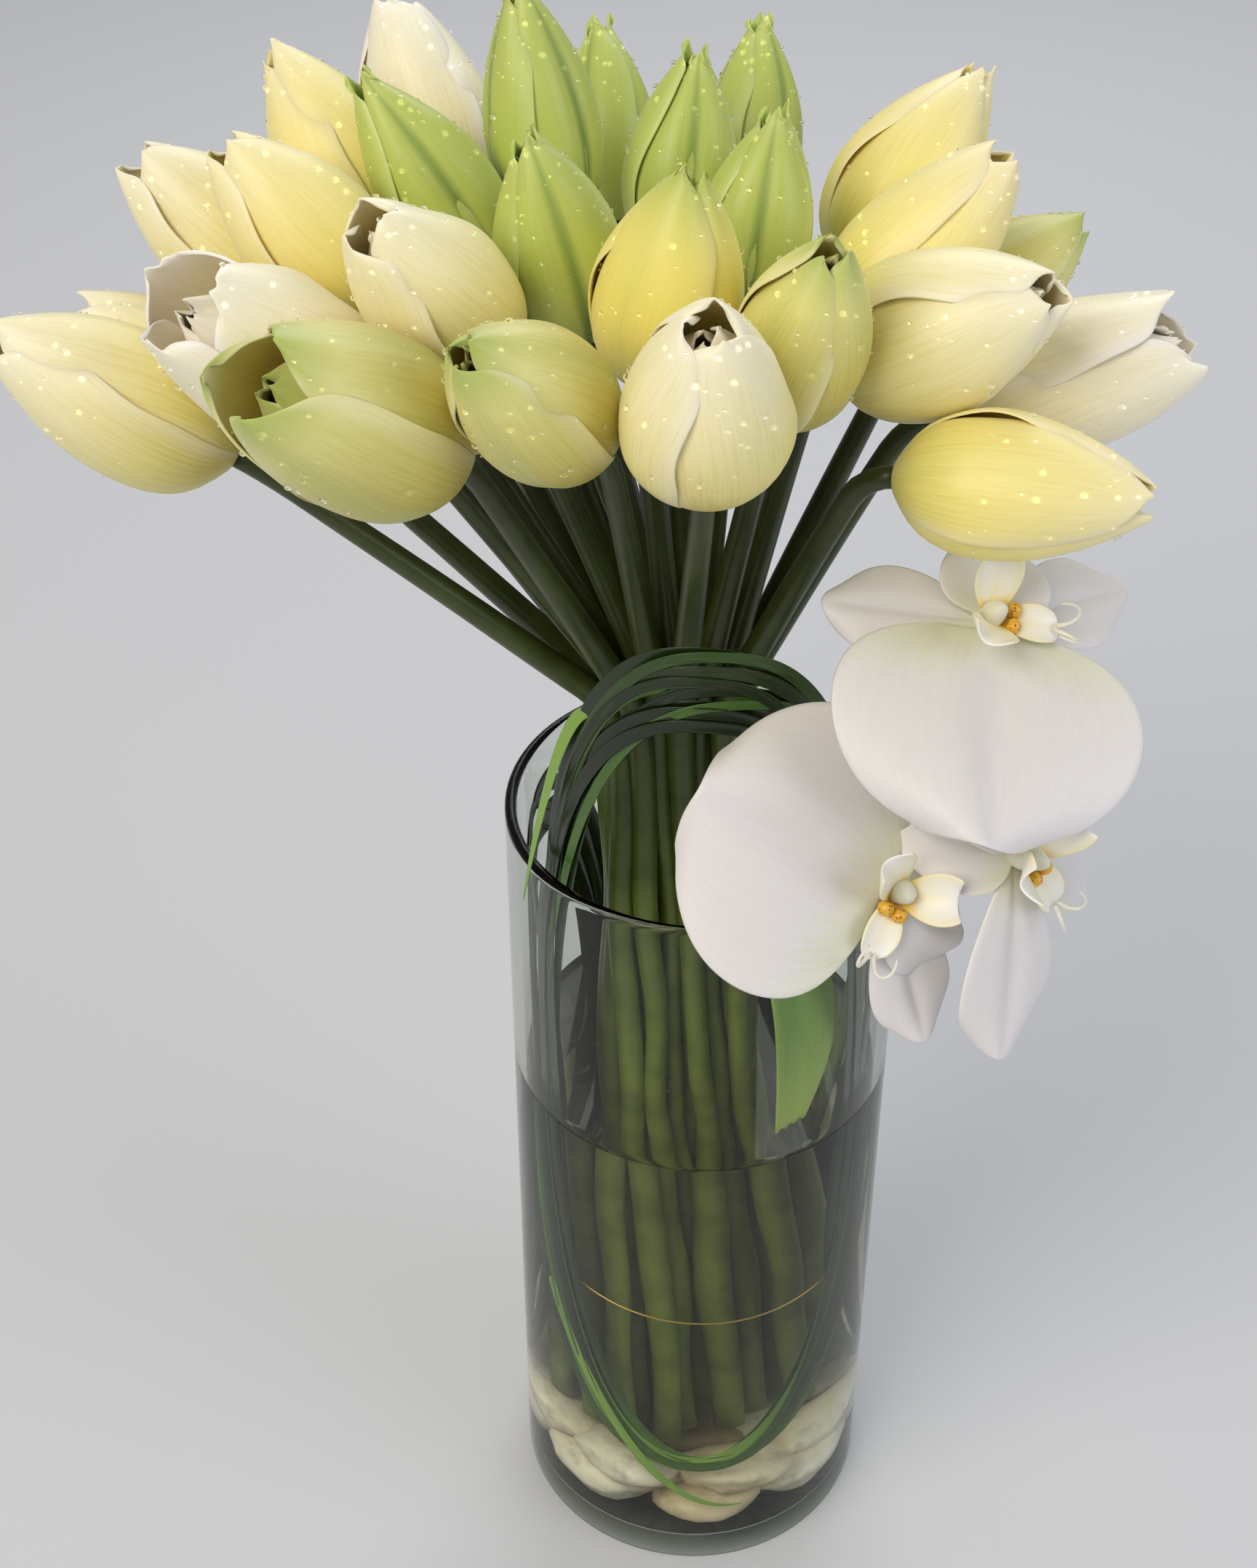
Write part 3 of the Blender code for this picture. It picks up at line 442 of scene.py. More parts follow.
def petal_finish(name, stops, rib, edge, rib_share, edge_share, roughness=0.42, rib_width=0.17,
                 vein_share=0.3):
    """Petal or leaf, waxy living skin: its colour runs up it, with a midrib, veins and an edge."""
    made, tree = finish_named(name)
    lay = node(tree, "UVMap", uv_map="lay")
    parts = node(tree, "SeparateXYZ", {0: lay})
    # the veins run up it about a millimetre apart
    long_ways = node(tree, "Mapping", {"Vector": lay, "Scale": (34, 2.2, 1)})
    veins = node(tree, "TexNoise", {"Vector": long_ways, "Scale": 1.6, "Detail": 5.0,
                                    "Roughness": 0.65})
    wander = node(tree, "Math", {0: veins, 1: 0.34, 2: -0.17}, operation="MULTIPLY_ADD")
    height = node(tree, "Math", {0: parts.outputs["Y"], 1: wander}, operation="ADD")
    run = node(tree, "ValToRGB", {"Fac": height}, stops=stops)
    shift = node(tree, "Math", {0: parts.outputs["X"], 1: 0.5}, operation="SUBTRACT")
    side = node(tree, "Math", {0: shift}, operation="ABSOLUTE")
    mid = node(tree, "MapRange", {"Value": side, "From Min": 0.0, "From Max": rib_width,
                                  "To Min": rib_share, "To Max": 0.0}, interpolation_type="SMOOTHSTEP")
    fade = node(tree, "MapRange", {"Value": height, "From Min": 0.15, "From Max": 1.0, "To Min": 1.0,
                                   "To Max": 0.25})
    flame = node(tree, "Math", {0: mid, 1: fade}, operation="MULTIPLY")
    ribbed = node(tree, "Mix", {0: flame, 6: run, 7: linear(rib)}, data_type="RGBA")
    margin = node(tree, "MapRange", {"Value": side, "From Min": 0.34, "From Max": 0.5, "To Min": 0.0,
                                     "To Max": edge_share}, interpolation_type="SMOOTHSTEP")
    edged = node(tree, "Mix", {0: margin, 6: ribbed.outputs[2], 7: linear(edge)}, data_type="RGBA")
    streak = node(tree, "ValToRGB", {"Fac": veins}, stops=[(0.3, "#e6e2c6"), (0.55, "#ffffff")])
    veined = node(tree, "Mix", {0: vein_share, 6: edged.outputs[2], 7: streak}, data_type="RGBA",
                  blend_type="MULTIPLY")
    relief = node(tree, "Bump", {"Height": veins, "Strength": 0.16, "Distance": 0.3 * MM})
    surface = node(tree, "BsdfPrincipled",
                   {"Base Color": veined.outputs[2], "Roughness": roughness,
                    "Normal": relief, "Subsurface Weight": 0.15,
                    "Subsurface Radius": (1.0, 0.8, 0.35), "Subsurface Scale": 1.6 * MM,
                    "Sheen Weight": 0.08})
    node(tree, "OutputMaterial", {"Surface": surface})
    return made


# each colour's outside and inside: the finish's name, its colours up the petal, the colours of rib
# and edge, and how strongly rib and edge show. The outsides darken towards their bases, partly in
# the deeper yellow a tulip has there and partly as painted shade under the cups
PETAL_COLOURS = {
    "cream": (
        ("cream_tulip_petal", [(0.0, "#ccbc5c"), (0.25, "#ecdf8a"), (0.6, "#fbf1c0"), (1.0, "#fff8dc")],
         "#ebe394", "#fff9e2", 0.35, 0.5),
        ("cream_petal_inside", [(0.0, "#f0da60"), (0.35, "#faeaa0"), (1.0, "#fff4d8")],
         "#f4e494", "#fff5e6", 0.3, 0.4)),
    "white": (
        ("white_tulip_petal", [(0.0, "#dcd294"), (0.25, "#f4e8c0"), (0.6, "#fdf5d8"), (1.0, "#fffae8")],
         "#f0e7c0", "#fff8fa", 0.3, 0.6),
        ("white_petal_inside", [(0.0, "#eedc78"), (0.35, "#fbeec4"), (1.0, "#fff6ec")],
         "#f6eac4", "#fff8f8", 0.25, 0.4)),
    "yellow": (
        ("yellow_tulip_petal",
         [(0.0, "#e0d672"), (0.25, "#f8e888"), (0.6, "#fceda4"), (1.0, "#fef3c8")],
         "#ece48a", "#fff5d8", 0.4, 0.4),
        ("yellow_petal_inside", [(0.0, "#e8d048"), (0.4, "#f8e474"), (1.0, "#fceda4")],
         "#f0dc74", "#fef2c4", 0.3, 0.4)),
    # the colour comes last at the tips and along the midrib, which are still green; the dull olive
    # at the base of the outside is painted shade
    "lime": (
        ("lime_tulip_petal", [(0.0, "#a89a38"), (0.3, "#cfc25e"), (0.7, "#e2de8c"), (1.0, "#aec064")],
         "#b4c460", "#f2ecbc", 0.45, 0.6),
        ("lime_petal_inside", [(0.0, "#f0d658"), (0.5, "#f8e898"), (1.0, "#f0eab4")],
         "#ece082", "#fbf2d0", 0.4, 0.5)),
    "tipped": (
        ("green_topped_tulip_petal",
         [(0.0, "#f0dc68"), (0.3, "#fbea7e"), (0.6, "#f2e680"), (0.95, "#b8c966")],
         "#d8d870", "#fcf0b4", 0.5, 0.4),
        ("green_topped_petal_inside", [(0.0, "#e8d048"), (1.0, "#e0de88")],
         "#d6d674", "#f9f0c8", 0.4, 0.5)),
    # the buds' narrow dark midrib line: partly their own deeper green, partly painted shade in the
    # groove
    "green": (
        ("green_tulip_bud", [(0.0, "#c8d26a"), (0.35, "#bac864"), (0.75, "#bcca68"), (1.0, "#ccd684")],
         "#5c7e34", "#d2e096", 0.8, 0.55, 0.42, 0.08),
        ("green_bud_inside", [(0.0, "#8aa83c"), (1.0, "#bcd06a")],
         "#88a43c", "#d2de90", 0.5, 0.5)),
}
PETAL_FINISHES = {colour: [petal_finish(*side) for side in sides]
                  for colour, sides in PETAL_COLOURS.items()}

blooms = settle_blooms()
dew_sites = []                       # places on petals where drops may stand
hearts = []                          # open blooms, whose pistil and stamens show
for number, (row, (base, axis, _)) in enumerate(zip(TULIPS, blooms)):
    name, _, _, _, length, girth, openness, colour = row
    bloom = (length * MM, girth / 2 * MM, openness)
    spin = Matrix.Rotation(radians(37 * number), 4, "Z")
    stand = Vector((0, 0, 1)).rotation_difference(axis).to_matrix().to_4x4()
    frame_of = Matrix.Translation(base) @ stand @ spin
    draw = random.Random(100 + number)
    bm = sheet_mesh()
    for inset, start in ((1.0, 0.0), (0.88, pi / 3)):
        for k in range(3):
            place = tulip_petal(bloom, start + 2 * pi * k / 3, inset, PETAL_LOOKS[colour], draw)
            sheet(bm, place, across=12, along=16, frame_of=frame_of)
            if inset == 1.0:
                dew_sites.append((place, frame_of, colour))
    if openness > 0.4:
        hearts.append(frame_of)
    outside, inside = PETAL_FINISHES["tipped" if "centre" in name else colour]
    petals = add_object(name + "_petals", bm, outside)
    petals.data.materials.append(inside)
    thicken(petals, 0.8 * MM, inner_slot=1)
    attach(petals, "root")
    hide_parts(name)


# ---- pistils and stamens ----
# A fleshy green pistil with a paler knob, and six dusty yellow anthers round it, stand in the
# middle of each open bloom. They are rounded lumps in one mesh.
heart_skin, tree = finish_named("tulip_pistil_and_anther")
# living tissue and pollen, both without gloss, told apart by the mesh's own tone
tone = node(tree, "Attribute", attribute_name="tone")
colour = node(tree, "ValToRGB", {"Fac": tone.outputs["Fac"]},
              stops=[(0.0, "#b6c860"), (0.5, "#d9d468"), (1.0, "#e0b83c")])
surface = node(tree, "BsdfPrincipled", {"Base Color": colour, "Roughness": 0.6})
node(tree, "OutputMaterial", {"Surface": surface})


def lump(bm, stance, spot, size, segments, rings):
    """A rounded lump in a flower, its place and half sizes in the flower's own millimetres."""
    made = bmesh.ops.create_uvsphere(bm, u_segments=segments, v_segments=rings, radius=1)["verts"]
    fit = Matrix.Translation(Vector(spot) * MM) @ Matrix.Diagonal((*(v * MM for v in size), 1))
    bmesh.ops.transform(bm, matrix=stance @ fit, verts=made)
    return made


bm = bmesh.new()
tones = bm.verts.layers.float.new("tone")
for frame_of in hearts:
    parts = [((0, 0, 15), (3.0, 3.0, 12), 0.0), ((0, 0, 27), (4.2, 4.2, 1.8), 0.4)]
    for k in range(6):
        angle = 2 * pi * k / 6
        parts.append(((6.5 * cos(angle), 6.5 * sin(angle), 17), (1.2, 1.2, 7), 1.0))
    for spot, size, value in parts:
        for vert in lump(bm, frame_of, spot, size, segments=12, rings=8):
            vert[tones] = value
pistils = add_object("pistils_and_stamens", bm, heart_skin)
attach(pistils, "root")


# ---- tulip stems ----
# Bare green stems, one under each bloom, squeezed together at the neck and spread again on the
# stones. They are fleshy and round, with a waxy skin, and their ends are cut across.
FOOT_CENTRE = Vector((-5, 4, 43)) * MM
NECK_CENTRE = Vector((-10, 3, 338)) * MM
NECK_PITCH = 6.9 * MM
FOOT_SPREAD = 1.70
FOOT_TWIST = radians(30)
NECK_DRAW = 0.2
STEM_RADIUS = 4.1 * MM
STEM_SWAY = 2 * MM
JOINT_SWELL = 1.16
COLLAR = 7 * MM
BEND_STEPS = 6
GAP = 0.3 * MM


def neck_places():
    """Where each stem passes the neck: drawn in from its bloom, then pressed in a tight bunch."""
    places = [(base - NECK_CENTRE).xy * NECK_DRAW for base, _, _ in blooms]
    for step in range(400):
        for i in range(len(places)):
            places[i] = places[i] * 0.985
        for i, j in itertools.combinations(range(len(places)), 2):
            apart = places[j] - places[i]
            short = NECK_PITCH - apart.length
            if short > 0:
                push = apart.normalized() * short * 0.5
                places[i] -= push
                places[j] += push
    return places


def curve_points(start, handle_a, handle_b, end, count):
    """Points on a cubic curve, without its first one."""
    points = []
    for i in range(1, count + 1):
        t = i / count
        u = 1 - t
        points.append(start * u ** 3 + handle_a * (3 * u * u * t) + handle_b * (3 * u * t * t)
                      + end * t ** 3)
    return points


def stem_bend(foot, neck, number):
    """The bend from the neck up to the bloom, eased round every other bloom on the way."""
    base, axis, _ = blooms[number]
    rise = (neck - foot).normalized()
    top = base - axis * GAP
    collar = top - axis * COLLAR
    reach = (collar - neck).length
    bend = curve_points(neck, neck + rise * reach * 0.4, collar - axis * reach * 0.35, collar,
                        BEND_STEPS - 1)
    others = [(bloom[0] + centre, radius) for i, bloom in enumerate(blooms) if i != number
              for centre, radius in bloom[2]]
    for _ in range(80):
        for i in range(len(bend) - 1):
            before = bend[i - 1] if i else neck
            bend[i] = bend[i] * 0.8 + (before + bend[i + 1]) * 0.1
        for i in range(1, len(bend)):
            for share in (0.0, 0.5):
                spot = bend[i - 1].lerp(bend[i], share)
                for centre, radius in others:
                    apart = spot - centre
                    short = radius / SQUEEZE + STEM_RADIUS + 3 * GAP - apart.length
                    if short > 0:
                        push = apart.normalized() * short
                        bend[i - 1] += push * (1 - share)
                        if i < len(bend) - 1:
                            bend[i] += push * share
    return bend + [base + axis * 2 * MM]


def rods(name, runs, finish, roundness=4, steps=4):
    """Round rods along smooth curves, each point with its own radius, turned into one mesh."""
    curve = bpy.data.curves.new(name + "_curve", "CURVE")
    curve.dimensions = "3D"
    curve.bevel_depth = 1.0
    curve.bevel_resolution = roundness
    curve.use_fill_caps = True
    curve.resolution_u = steps
    for points, radii in runs:
        spline = curve.splines.new("NURBS")
        spline.points.add(len(points) - 1)
        for spot, point, radius in zip(spline.points, points, radii):
            spot.co = (*point, 1)
            spot.radius = radius
        spline.order_u = 3
        spline.use_endpoint_u = True
        spline.use_smooth = True
    holder = bpy.data.objects.new(name + "_curve", curve)
    link(holder)
    mesh = bpy.data.meshes.new_from_object(holder.evaluated_get(bpy.context.evaluated_depsgraph_get()))
    bpy.data.objects.remove(holder)
    bm = bmesh.new()
    bm.from_mesh(mesh)
    bpy.data.meshes.remove(mesh)
    bmesh.ops.remove_doubles(bm, verts=bm.verts, dist=0.01 * MM)
    bmesh.ops.recalc_face_normals(bm, faces=bm.faces)
    for face in bm.faces:
        face.smooth = len(face.verts) < 5
    return add_object(name, bm, finish, smooth=False)


def stalk_finish(name, low, middle, high, dark):
    """Waxy plant stalk, streaked along itself: paler near the stones, and darker above the rim, where
    the darkening is painted shade of the flowers overhead.
    """
    made, tree = finish_named(name)
    place = node(tree, "TexCoord")
    parts = node(tree, "SeparateXYZ", {0: place.outputs["Object"]})
    run = node(tree, "MapRange", {"Value": parts.outputs["Z"], "From Min": 0.04, "From Max": 0.42})
    # the top two stops are painted shade: the stalk darkens above the rim, under the flowers
    colour = node(tree, "ValToRGB", {"Fac": run}, stops=[(0.0, low), (0.35, middle), (0.7, high),
            (1.0, dark)])
    # fine ribs run up the stalk, a millimetre apart, and blotches a centimetre across
    squash = node(tree, "Mapping", {"Vector": place.outputs["Object"], "Scale": (900, 900, 40)})
    ribs = node(tree, "TexNoise", {"Vector": squash, "Scale": 1.0, "Detail": 3.0})
    blotch = node(tree, "TexNoise", {"Vector": place.outputs["Object"], "Scale": 80.0, "Detail": 4.0})
    shade = node(tree, "ValToRGB", {"Fac": blotch}, stops=[(0.3, "#a8b090"), (0.6, "#ffffff")])
    mixed = node(tree, "Mix", {0: 0.6, 6: colour, 7: shade}, data_type="RGBA", blend_type="MULTIPLY")
    relief = node(tree, "Bump", {"Height": ribs, "Strength": 0.3, "Distance": 0.3 * MM})
    surface = node(tree, "BsdfPrincipled",
                   {"Base Color": mixed.outputs[2], "Roughness": 0.38,
                    "Normal": relief, "Subsurface Weight": 0.08,
                    "Subsurface Radius": (0.6, 1.0, 0.3), "Subsurface Scale": 1.0 * MM})
    node(tree, "OutputMaterial", {"Surface": surface})
    return made


tulip_skin = stalk_finish("tulip_stem_skin", "#8e9c4a", "#7e8a3c", "#4e5c24", "#384216")
turn = Matrix.Rotation(FOOT_TWIST, 2)
draw = random.Random(21)
stem_lines = []
runs = []
for number, spot in enumerate(neck_places()):
    foot = FOOT_CENTRE + (turn @ spot * FOOT_SPREAD).to_3d()
    neck = NECK_CENTRE + spot.to_3d()
    stem_lines.append((foot, neck))
    points = [foot]
    for k in range(1, 8):
        sway = Vector((draw.uniform(-1, 1), draw.uniform(-1, 1), 0)) * STEM_SWAY
        points.append(foot.lerp(neck, k / 8) + sway)
    points += [neck] + stem_bend(foot, neck, number)
    radii = [STEM_RADIUS * draw.uniform(0.84, 1.02) for _ in range(9)]
    radii[draw.randint(1, 4)] *= JOINT_SWELL       # the joint where a leaf was stripped
    radii += [STEM_RADIUS + (STEM_TOP_RADIUS - STEM_RADIUS) * i / BEND_STEPS
              for i in range(1, BEND_STEPS + 1)]
    runs.append((points, radii[:len(points)]))
stems = rods("tulip_stalks", runs, tulip_skin)
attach(stems, "root")
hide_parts("tulip_stems")


# ---- torn leaf ----
# One green leaf still on its stem, out over the water and then down beside the glass. Its lower
# end is torn off in a ragged point, and it folds along its midrib.
LEAF_OUT = Vector((33, -35, 266)) * MM
LEAF_HANG = Vector((33, -36, 240)) * MM
LEAF_TIP = Vector((26, -42, 205)) * MM
LEAF_SIDE = Vector((0.78, 0.62, 0))
LEAF_HALF_WIDTH = 11 * MM
share = (LEAF_OUT.z - FOOT_CENTRE.z) / (NECK_CENTRE.z - FOOT_CENTRE.z)
leaf_root = min((foot.lerp(neck, share) for foot, neck in stem_lines),
                key=lambda point: (point - LEAF_OUT).length)


def leaf_place(s, t):
    """The place of the leaf's points, s from -1 to 1 across it and t from 0 to 1 along it."""
    u = 1 - t
    spine = (leaf_root * u ** 3 + LEAF_OUT * (3 * u * u * t) + LEAF_HANG * (3 * u * t * t)
             + LEAF_TIP * t ** 3)
    width = 1.5 * MM + LEAF_HALF_WIDTH * sin(pi * min(1, t * 0.86))
    fold = Vector((LEAF_SIDE.y, -LEAF_SIDE.x, 0)) * (-2.2 * MM * (1 - abs(s)) * sin(pi * t))
    ragged = Vector((0, 0, 1.6 * MM * sin(11 * s + 2) * t ** 8))
    return spine + LEAF_SIDE * (s * width) + fold + ragged


bm = sheet_mesh()
sheet(bm, leaf_place, across=10, along=22, frame_of=Matrix.Identity(4))
# tulip leaf, a living blade with a waxy bloom: darker at its root, yellowing at the torn end
leaf_skin = petal_finish("green_leaf_blade", [(0.0, "#4d6c2a"), (0.6, "#6f9238"), (1.0, "#a3b455")],
                         "#8aa850", "#a9b860", 0.4, 0.3)
leaf = add_object("torn_leaf", bm, leaf_skin)
thicken(leaf, 0.7 * MM)
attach(leaf, "root")
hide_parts("tulip_stems")


# ---- gold thread ----
# One loose strand of fine gilt tying thread, just under a millimetre thick. It lies round the
# front of the stems in the water, loose between them and the grass.
THREAD_POINTS = 60
THREAD_RADIUS = 0.45 * MM
gilt, tree = finish_named("gilt_thread")
# metal foil wound on a core: bright, a little rough
surface = node(tree, "BsdfPrincipled", {"Base Color": linear("#e6bf62"), "Metallic": 1.0,
                                        "Roughness": 0.3})
node(tree, "OutputMaterial", {"Surface": surface})
strand = []
for k in range(THREAD_POINTS):
    angle = 2 * pi * (0.54 + 0.44 * k / (THREAD_POINTS - 1))
    radius = (49.6 + 0.5 * sin(5 * angle)) * MM
    strand.append(Vector((radius * cos(angle), radius * sin(angle),
                          (125 + 3.0 * sin(2.3 * angle)) * MM)))
thread = rods("gold_thread", [(strand, [THREAD_RADIUS] * THREAD_POINTS)], gilt, roundness=1, steps=2)
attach(thread, "root")


# ---- grass loops ----
# Long lily-grass blades, glossy, ribbed and 3 to 7 mm wide, wound in tall ovals. The front turns
# line the glass and stand above the rim, and one loose tip ends across the stones. The side turns
# stay below the rim: broader, darker sheets turned to the vase's sides as painted shade.
COIL_RADIUS = 52.5 * MM
FRONT_TURNS = 14
SHADING_TURNS = 12
TURN_POINTS = 72


def coil_point(x, z, radius):
    """A point on the front half of a cylinder round the vase's axis."""
    return Vector((x, -sqrt(max(0.0, radius * radius - x * x)), z))


def blade_strip(bm, points, widths, closed, tone):
    """A flat blade with a shallow fold, laid along points on the glass cylinder."""
    count = len(points)
    runs_on = count if closed else count - 1
    made = bmesh.ops.create_grid(bm, x_segments=2, y_segments=runs_on, size=1, calc_uvs=True)["verts"]
    for vert in made:
        s = vert.co.x
        i = round((vert.co.y + 1) / 2 * runs_on)
        here = points[i % count]
        if closed:
            along = points[(i + 1) % count] - points[(i - 1) % count]
        else:
            along = points[min(i + 1, count - 1)] - points[max(i - 1, 0)]
        out = Vector((here.x, here.y, 0)).normalized()
        side = along.normalized().cross(out)
        vert.co = (here + side * (s * widths[i % count] / 2)
                   - out * (0.16 * widths[i % count] * (1 - abs(s))))
        vert[tones] = tone
    if closed:
        bmesh.ops.remove_doubles(bm, verts=made, dist=0.02 * MM)


def tapered(width, count, thin):
    """Widths along a blade that narrows towards its tip."""
    return [width * (1 - (k / (count - 1)) ** 3 * thin) for k in range(count)]


blade_green, tree = finish_named("lily_grass_blade")
# lily grass, a living leaf with a hard glossy skin: dark above, bright where it is young
tone = node(tree, "Attribute", attribute_name="tone")
place = node(tree, "TexCoord")
parts = node(tree, "SeparateXYZ", {0: place.outputs["Object"]})
low = node(tree, "MapRange", {"Value": parts.outputs["Z"], "From Min": 0.035, "From Max": 0.10,
                              "To Min": 0.55, "To Max": 0.0})
lay = node(tree, "UVMap", uv_map="lay")
fine = node(tree, "Mapping", {"Vector": lay, "Scale": (9, 30, 1)})
ribs = node(tree, "TexNoise", {"Vector": fine, "Scale": 1.5, "Detail": 3.0})
mix_tone = node(tree, "Math", {0: tone.outputs["Fac"], 1: low}, operation="ADD")
lift = node(tree, "Math", {0: ribs, 1: 0.3, 2: mix_tone}, operation="MULTIPLY_ADD")
colour = node(tree, "ValToRGB", {"Fac": lift}, stops=[(0.1, "#131d08"), (0.4, "#263c12"),
        (0.7, "#4d7428"), (1.0, "#86ab4a")])
# the ribs are a quarter of a millimetre apart, too fine to show as relief, so it is kept faint
relief = node(tree, "Bump", {"Height": ribs, "Strength": 0.06, "Distance": 0.2 * MM})
surface = node(tree, "BsdfPrincipled", {"Base Color": colour, "Roughness": 0.25, "Normal": relief})
node(tree, "OutputMaterial", {"Surface": surface})

draw = random.Random(5)
bm = sheet_mesh()
tones = bm.verts.layers.float.new("tone")
for number in range(FRONT_TURNS + SHADING_TURNS):
    shading_turn = number >= FRONT_TURNS
    half, top, foot = draw.uniform(45, 49.5), draw.uniform(367, 391), draw.uniform(47.5, 52.5)
    about = 0.0
    # the side turns are painted shade: lower, broader and darker sheets turned to the vase's sides
    if shading_turn:
        half, top = draw.uniform(24, 44), draw.uniform(262, 292)
        about = radians(draw.uniform(98, 118)) * (1 if number % 2 else -1)
    shift, radius = draw.uniform(-2, 3), COIL_RADIUS + draw.uniform(-0.6, 1.9) * MM
    width = draw.uniform(2.8, 4.4) * (1.5 if shading_turn else 1) * MM
    middle, tall = (top + foot) / 2 * MM, (top - foot) / 2 * MM
    tilt = draw.uniform(-0.03, 0.03)
    points = []
    for k in range(TURN_POINTS):
        angle = 2 * pi * k / TURN_POINTS
        swing, rise = sin(angle), cos(angle)
        x = shift * MM + half * MM * copysign(abs(swing) ** 0.8, swing)
        z = middle + tall * copysign(abs(rise) ** 0.8, rise)
        x = max(-51 * MM, min(51 * MM, x + tilt * (z - middle)))
        points.append(Matrix.Rotation(about, 3, "Z") @ coil_point(x, z, radius))
    # a side turn's tone is dimmed to four tenths as painted shade
    blade_strip(bm, points, [width] * TURN_POINTS, True,
                draw.choice((0.0, 0.05, 0.1, 0.15, 0.3, 0.45)) * (0.4 if shading_turn else 1))
loose = [coil_point((-46 + 62 * t ** 1.15) * MM, (118 - 92 * sin(t * pi / 2) ** 0.9) * MM,
                    COIL_RADIUS + (1.1 + 1.5 * min(1, t * 2)) * MM)
         for t in (k / 27 for k in range(28))]
blade_strip(bm, loose, tapered(4.4 * MM, len(loose), 0.9), False, 0.75)
# one young blade leaves the winding and hooks down over the rim, outside the glass
hook = [coil_point((-34 - 20 * t ** 0.8) * MM, (362 - 75 * t ** 1.4) * MM,
                   COIL_RADIUS + 10.5 * t * MM)
        for t in (k / 17 for k in range(18))]
blade_strip(bm, hook, tapered(3.8 * MM, len(hook), 0.92), False, 0.85)
grass = add_object("grass_blades", bm, blade_green)
thicken(grass, 0.45 * MM)
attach(grass, "root")
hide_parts("grass_loops")


# ---- orchid stalk ----
# The spray's thin green stalk stands in the water, leans on the rim and bends over it. It runs on
# to the back of the top flower, and sends a twig to each of the other two.
ORCHIDS = [                          # centre (mm), facing, the way of the first petal, and each
                                     # petal's and sepal's turn in degrees, size and lift
    ("orchid_front", (45, -86, 337), (0.36, -0.74, 0.56), (0.76, 0.10, -0.64),
     ((0, 0.45, -0.1), (180, 1.05, 0.1), (92, 0.3, -0.4), (215, 0.8, -0.1), (318, 0.8, 0.0))),
    ("orchid_top", (70, -47, 396), (0.20, -0.55, 0.81), (0.10, 0.88, 0.45),
     ((0, 0.40, 0.1), (182, 1.10, 0.28), (90, 0.80, 0.0), (218, 0.5, 0.0), (298, 0.85, 0.0))),
    ("orchid_side", (77, -84, 348), (0.60, -0.70, 0.39), (0.70, 0.60, 0.38),
     ((352, 0.8, -0.25), (118, 0.36, -0.8), (94, 0.3, -0.5), (235, 1.05, 0.05), (304, 0.5, 0.1))),
]
ORCHID_PETAL = (58 * MM, 76 * MM)
ORCHID_SEPAL = (54 * MM, 32 * MM)
ORCHID_CORE = 6.5 * MM
STALK_FOOT = Vector((39, -7, 150)) * MM
STALK_RIM = Vector((52.6, -10.4, 300)) * MM


def orchid_frame(centre, facing, petal):
    """Where a flower stands: it faces +Z there, and its first petal points along +X."""
    facing = Vector(facing).normalized()
    petal = Vector(petal)
    petal = (petal - facing * petal.dot(facing)).normalized()
    turn = Matrix((petal, facing.cross(petal), facing)).transposed().to_4x4()
    return Matrix.Translation(Vector(centre) * MM) @ turn


backs = []
for _, centre, facing, petal, _ in ORCHIDS:
    stance = orchid_frame(centre, facing, petal)
    backs.append((stance.translation.copy(), stance.col[2].xyz))
(front, front_axis), (high, high_axis), (side_end, side_axis) = backs
reach = ORCHID_CORE + GAP
rise = (STALK_RIM - STALK_FOOT).normalized()
high_end = high - high_axis * reach
main_run = [STALK_FOOT, STALK_RIM]
main_run += curve_points(STALK_RIM, STALK_RIM + rise * 40 * MM, high_end - high_axis * 26 * MM,
                         high_end, 7)
runs = [(main_run, [2.0 * MM] * 6 + [1.5 * MM] * 3)]
sag = Vector((0, 0, -14)) * MM
for root, end, axis, pull in ((main_run[3], front, front_axis, 22),
                              (main_run[4], side_end, side_axis, 30)):
    tip = end - axis * reach
    twig = [root] + curve_points(root, root.lerp(tip, 0.3) + Vector((0, 0, 8)) * MM,
                                 tip - axis * pull * MM + sag, tip, 6)
    runs.append((twig, [1.5 * MM] * len(twig)))
stalk = rods("orchid_spray_stalk", runs,
             stalk_finish("orchid_stalk_skin", "#7c9348", "#6f8640", "#647a38", "#5c6f36"))
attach(stalk, "root")
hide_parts("orchid_stalk")


# ---- orchid flowers ----
# Three white moth orchids: two broad petals in front of three narrower sepals, thick and waxy,
# round a yellow-throated lip that curls up at its sides under a short white column.

# orchid petal, thick wax-like living tissue: cold white, greenish at its claw, softly veined
orchid_white = petal_finish(
    "white_orchid_petal", [(0.0, "#e6e6cc"), (0.2, "#e8e5e4"), (1.0, "#f0edec")],
    "#d6d2d4", "#f6f3f2", 0.45, 0.5, 0.45, vein_share=0.1)
orchid_back = petal_finish(
    "orchid_petal_back", [(0.0, "#d8dabc"), (0.3, "#e2dfde"), (1.0, "#eae6e6")],
    "#d6d3d4", "#eeebea", 0.3, 0.3, 0.5, vein_share=0.1)
lip_skin = petal_finish(
    "orchid_lip", [(0.0, "#e2a428"), (0.16, "#f0cc4c"), (0.34, "#fbf4dc"), (1.0, "#fcfbf8")],
    "#f4dc80", "#fbe98c", 0.3, 0.35, 0.4, vein_share=0.1)
callus_skin, tree = finish_named("orchid_callus")
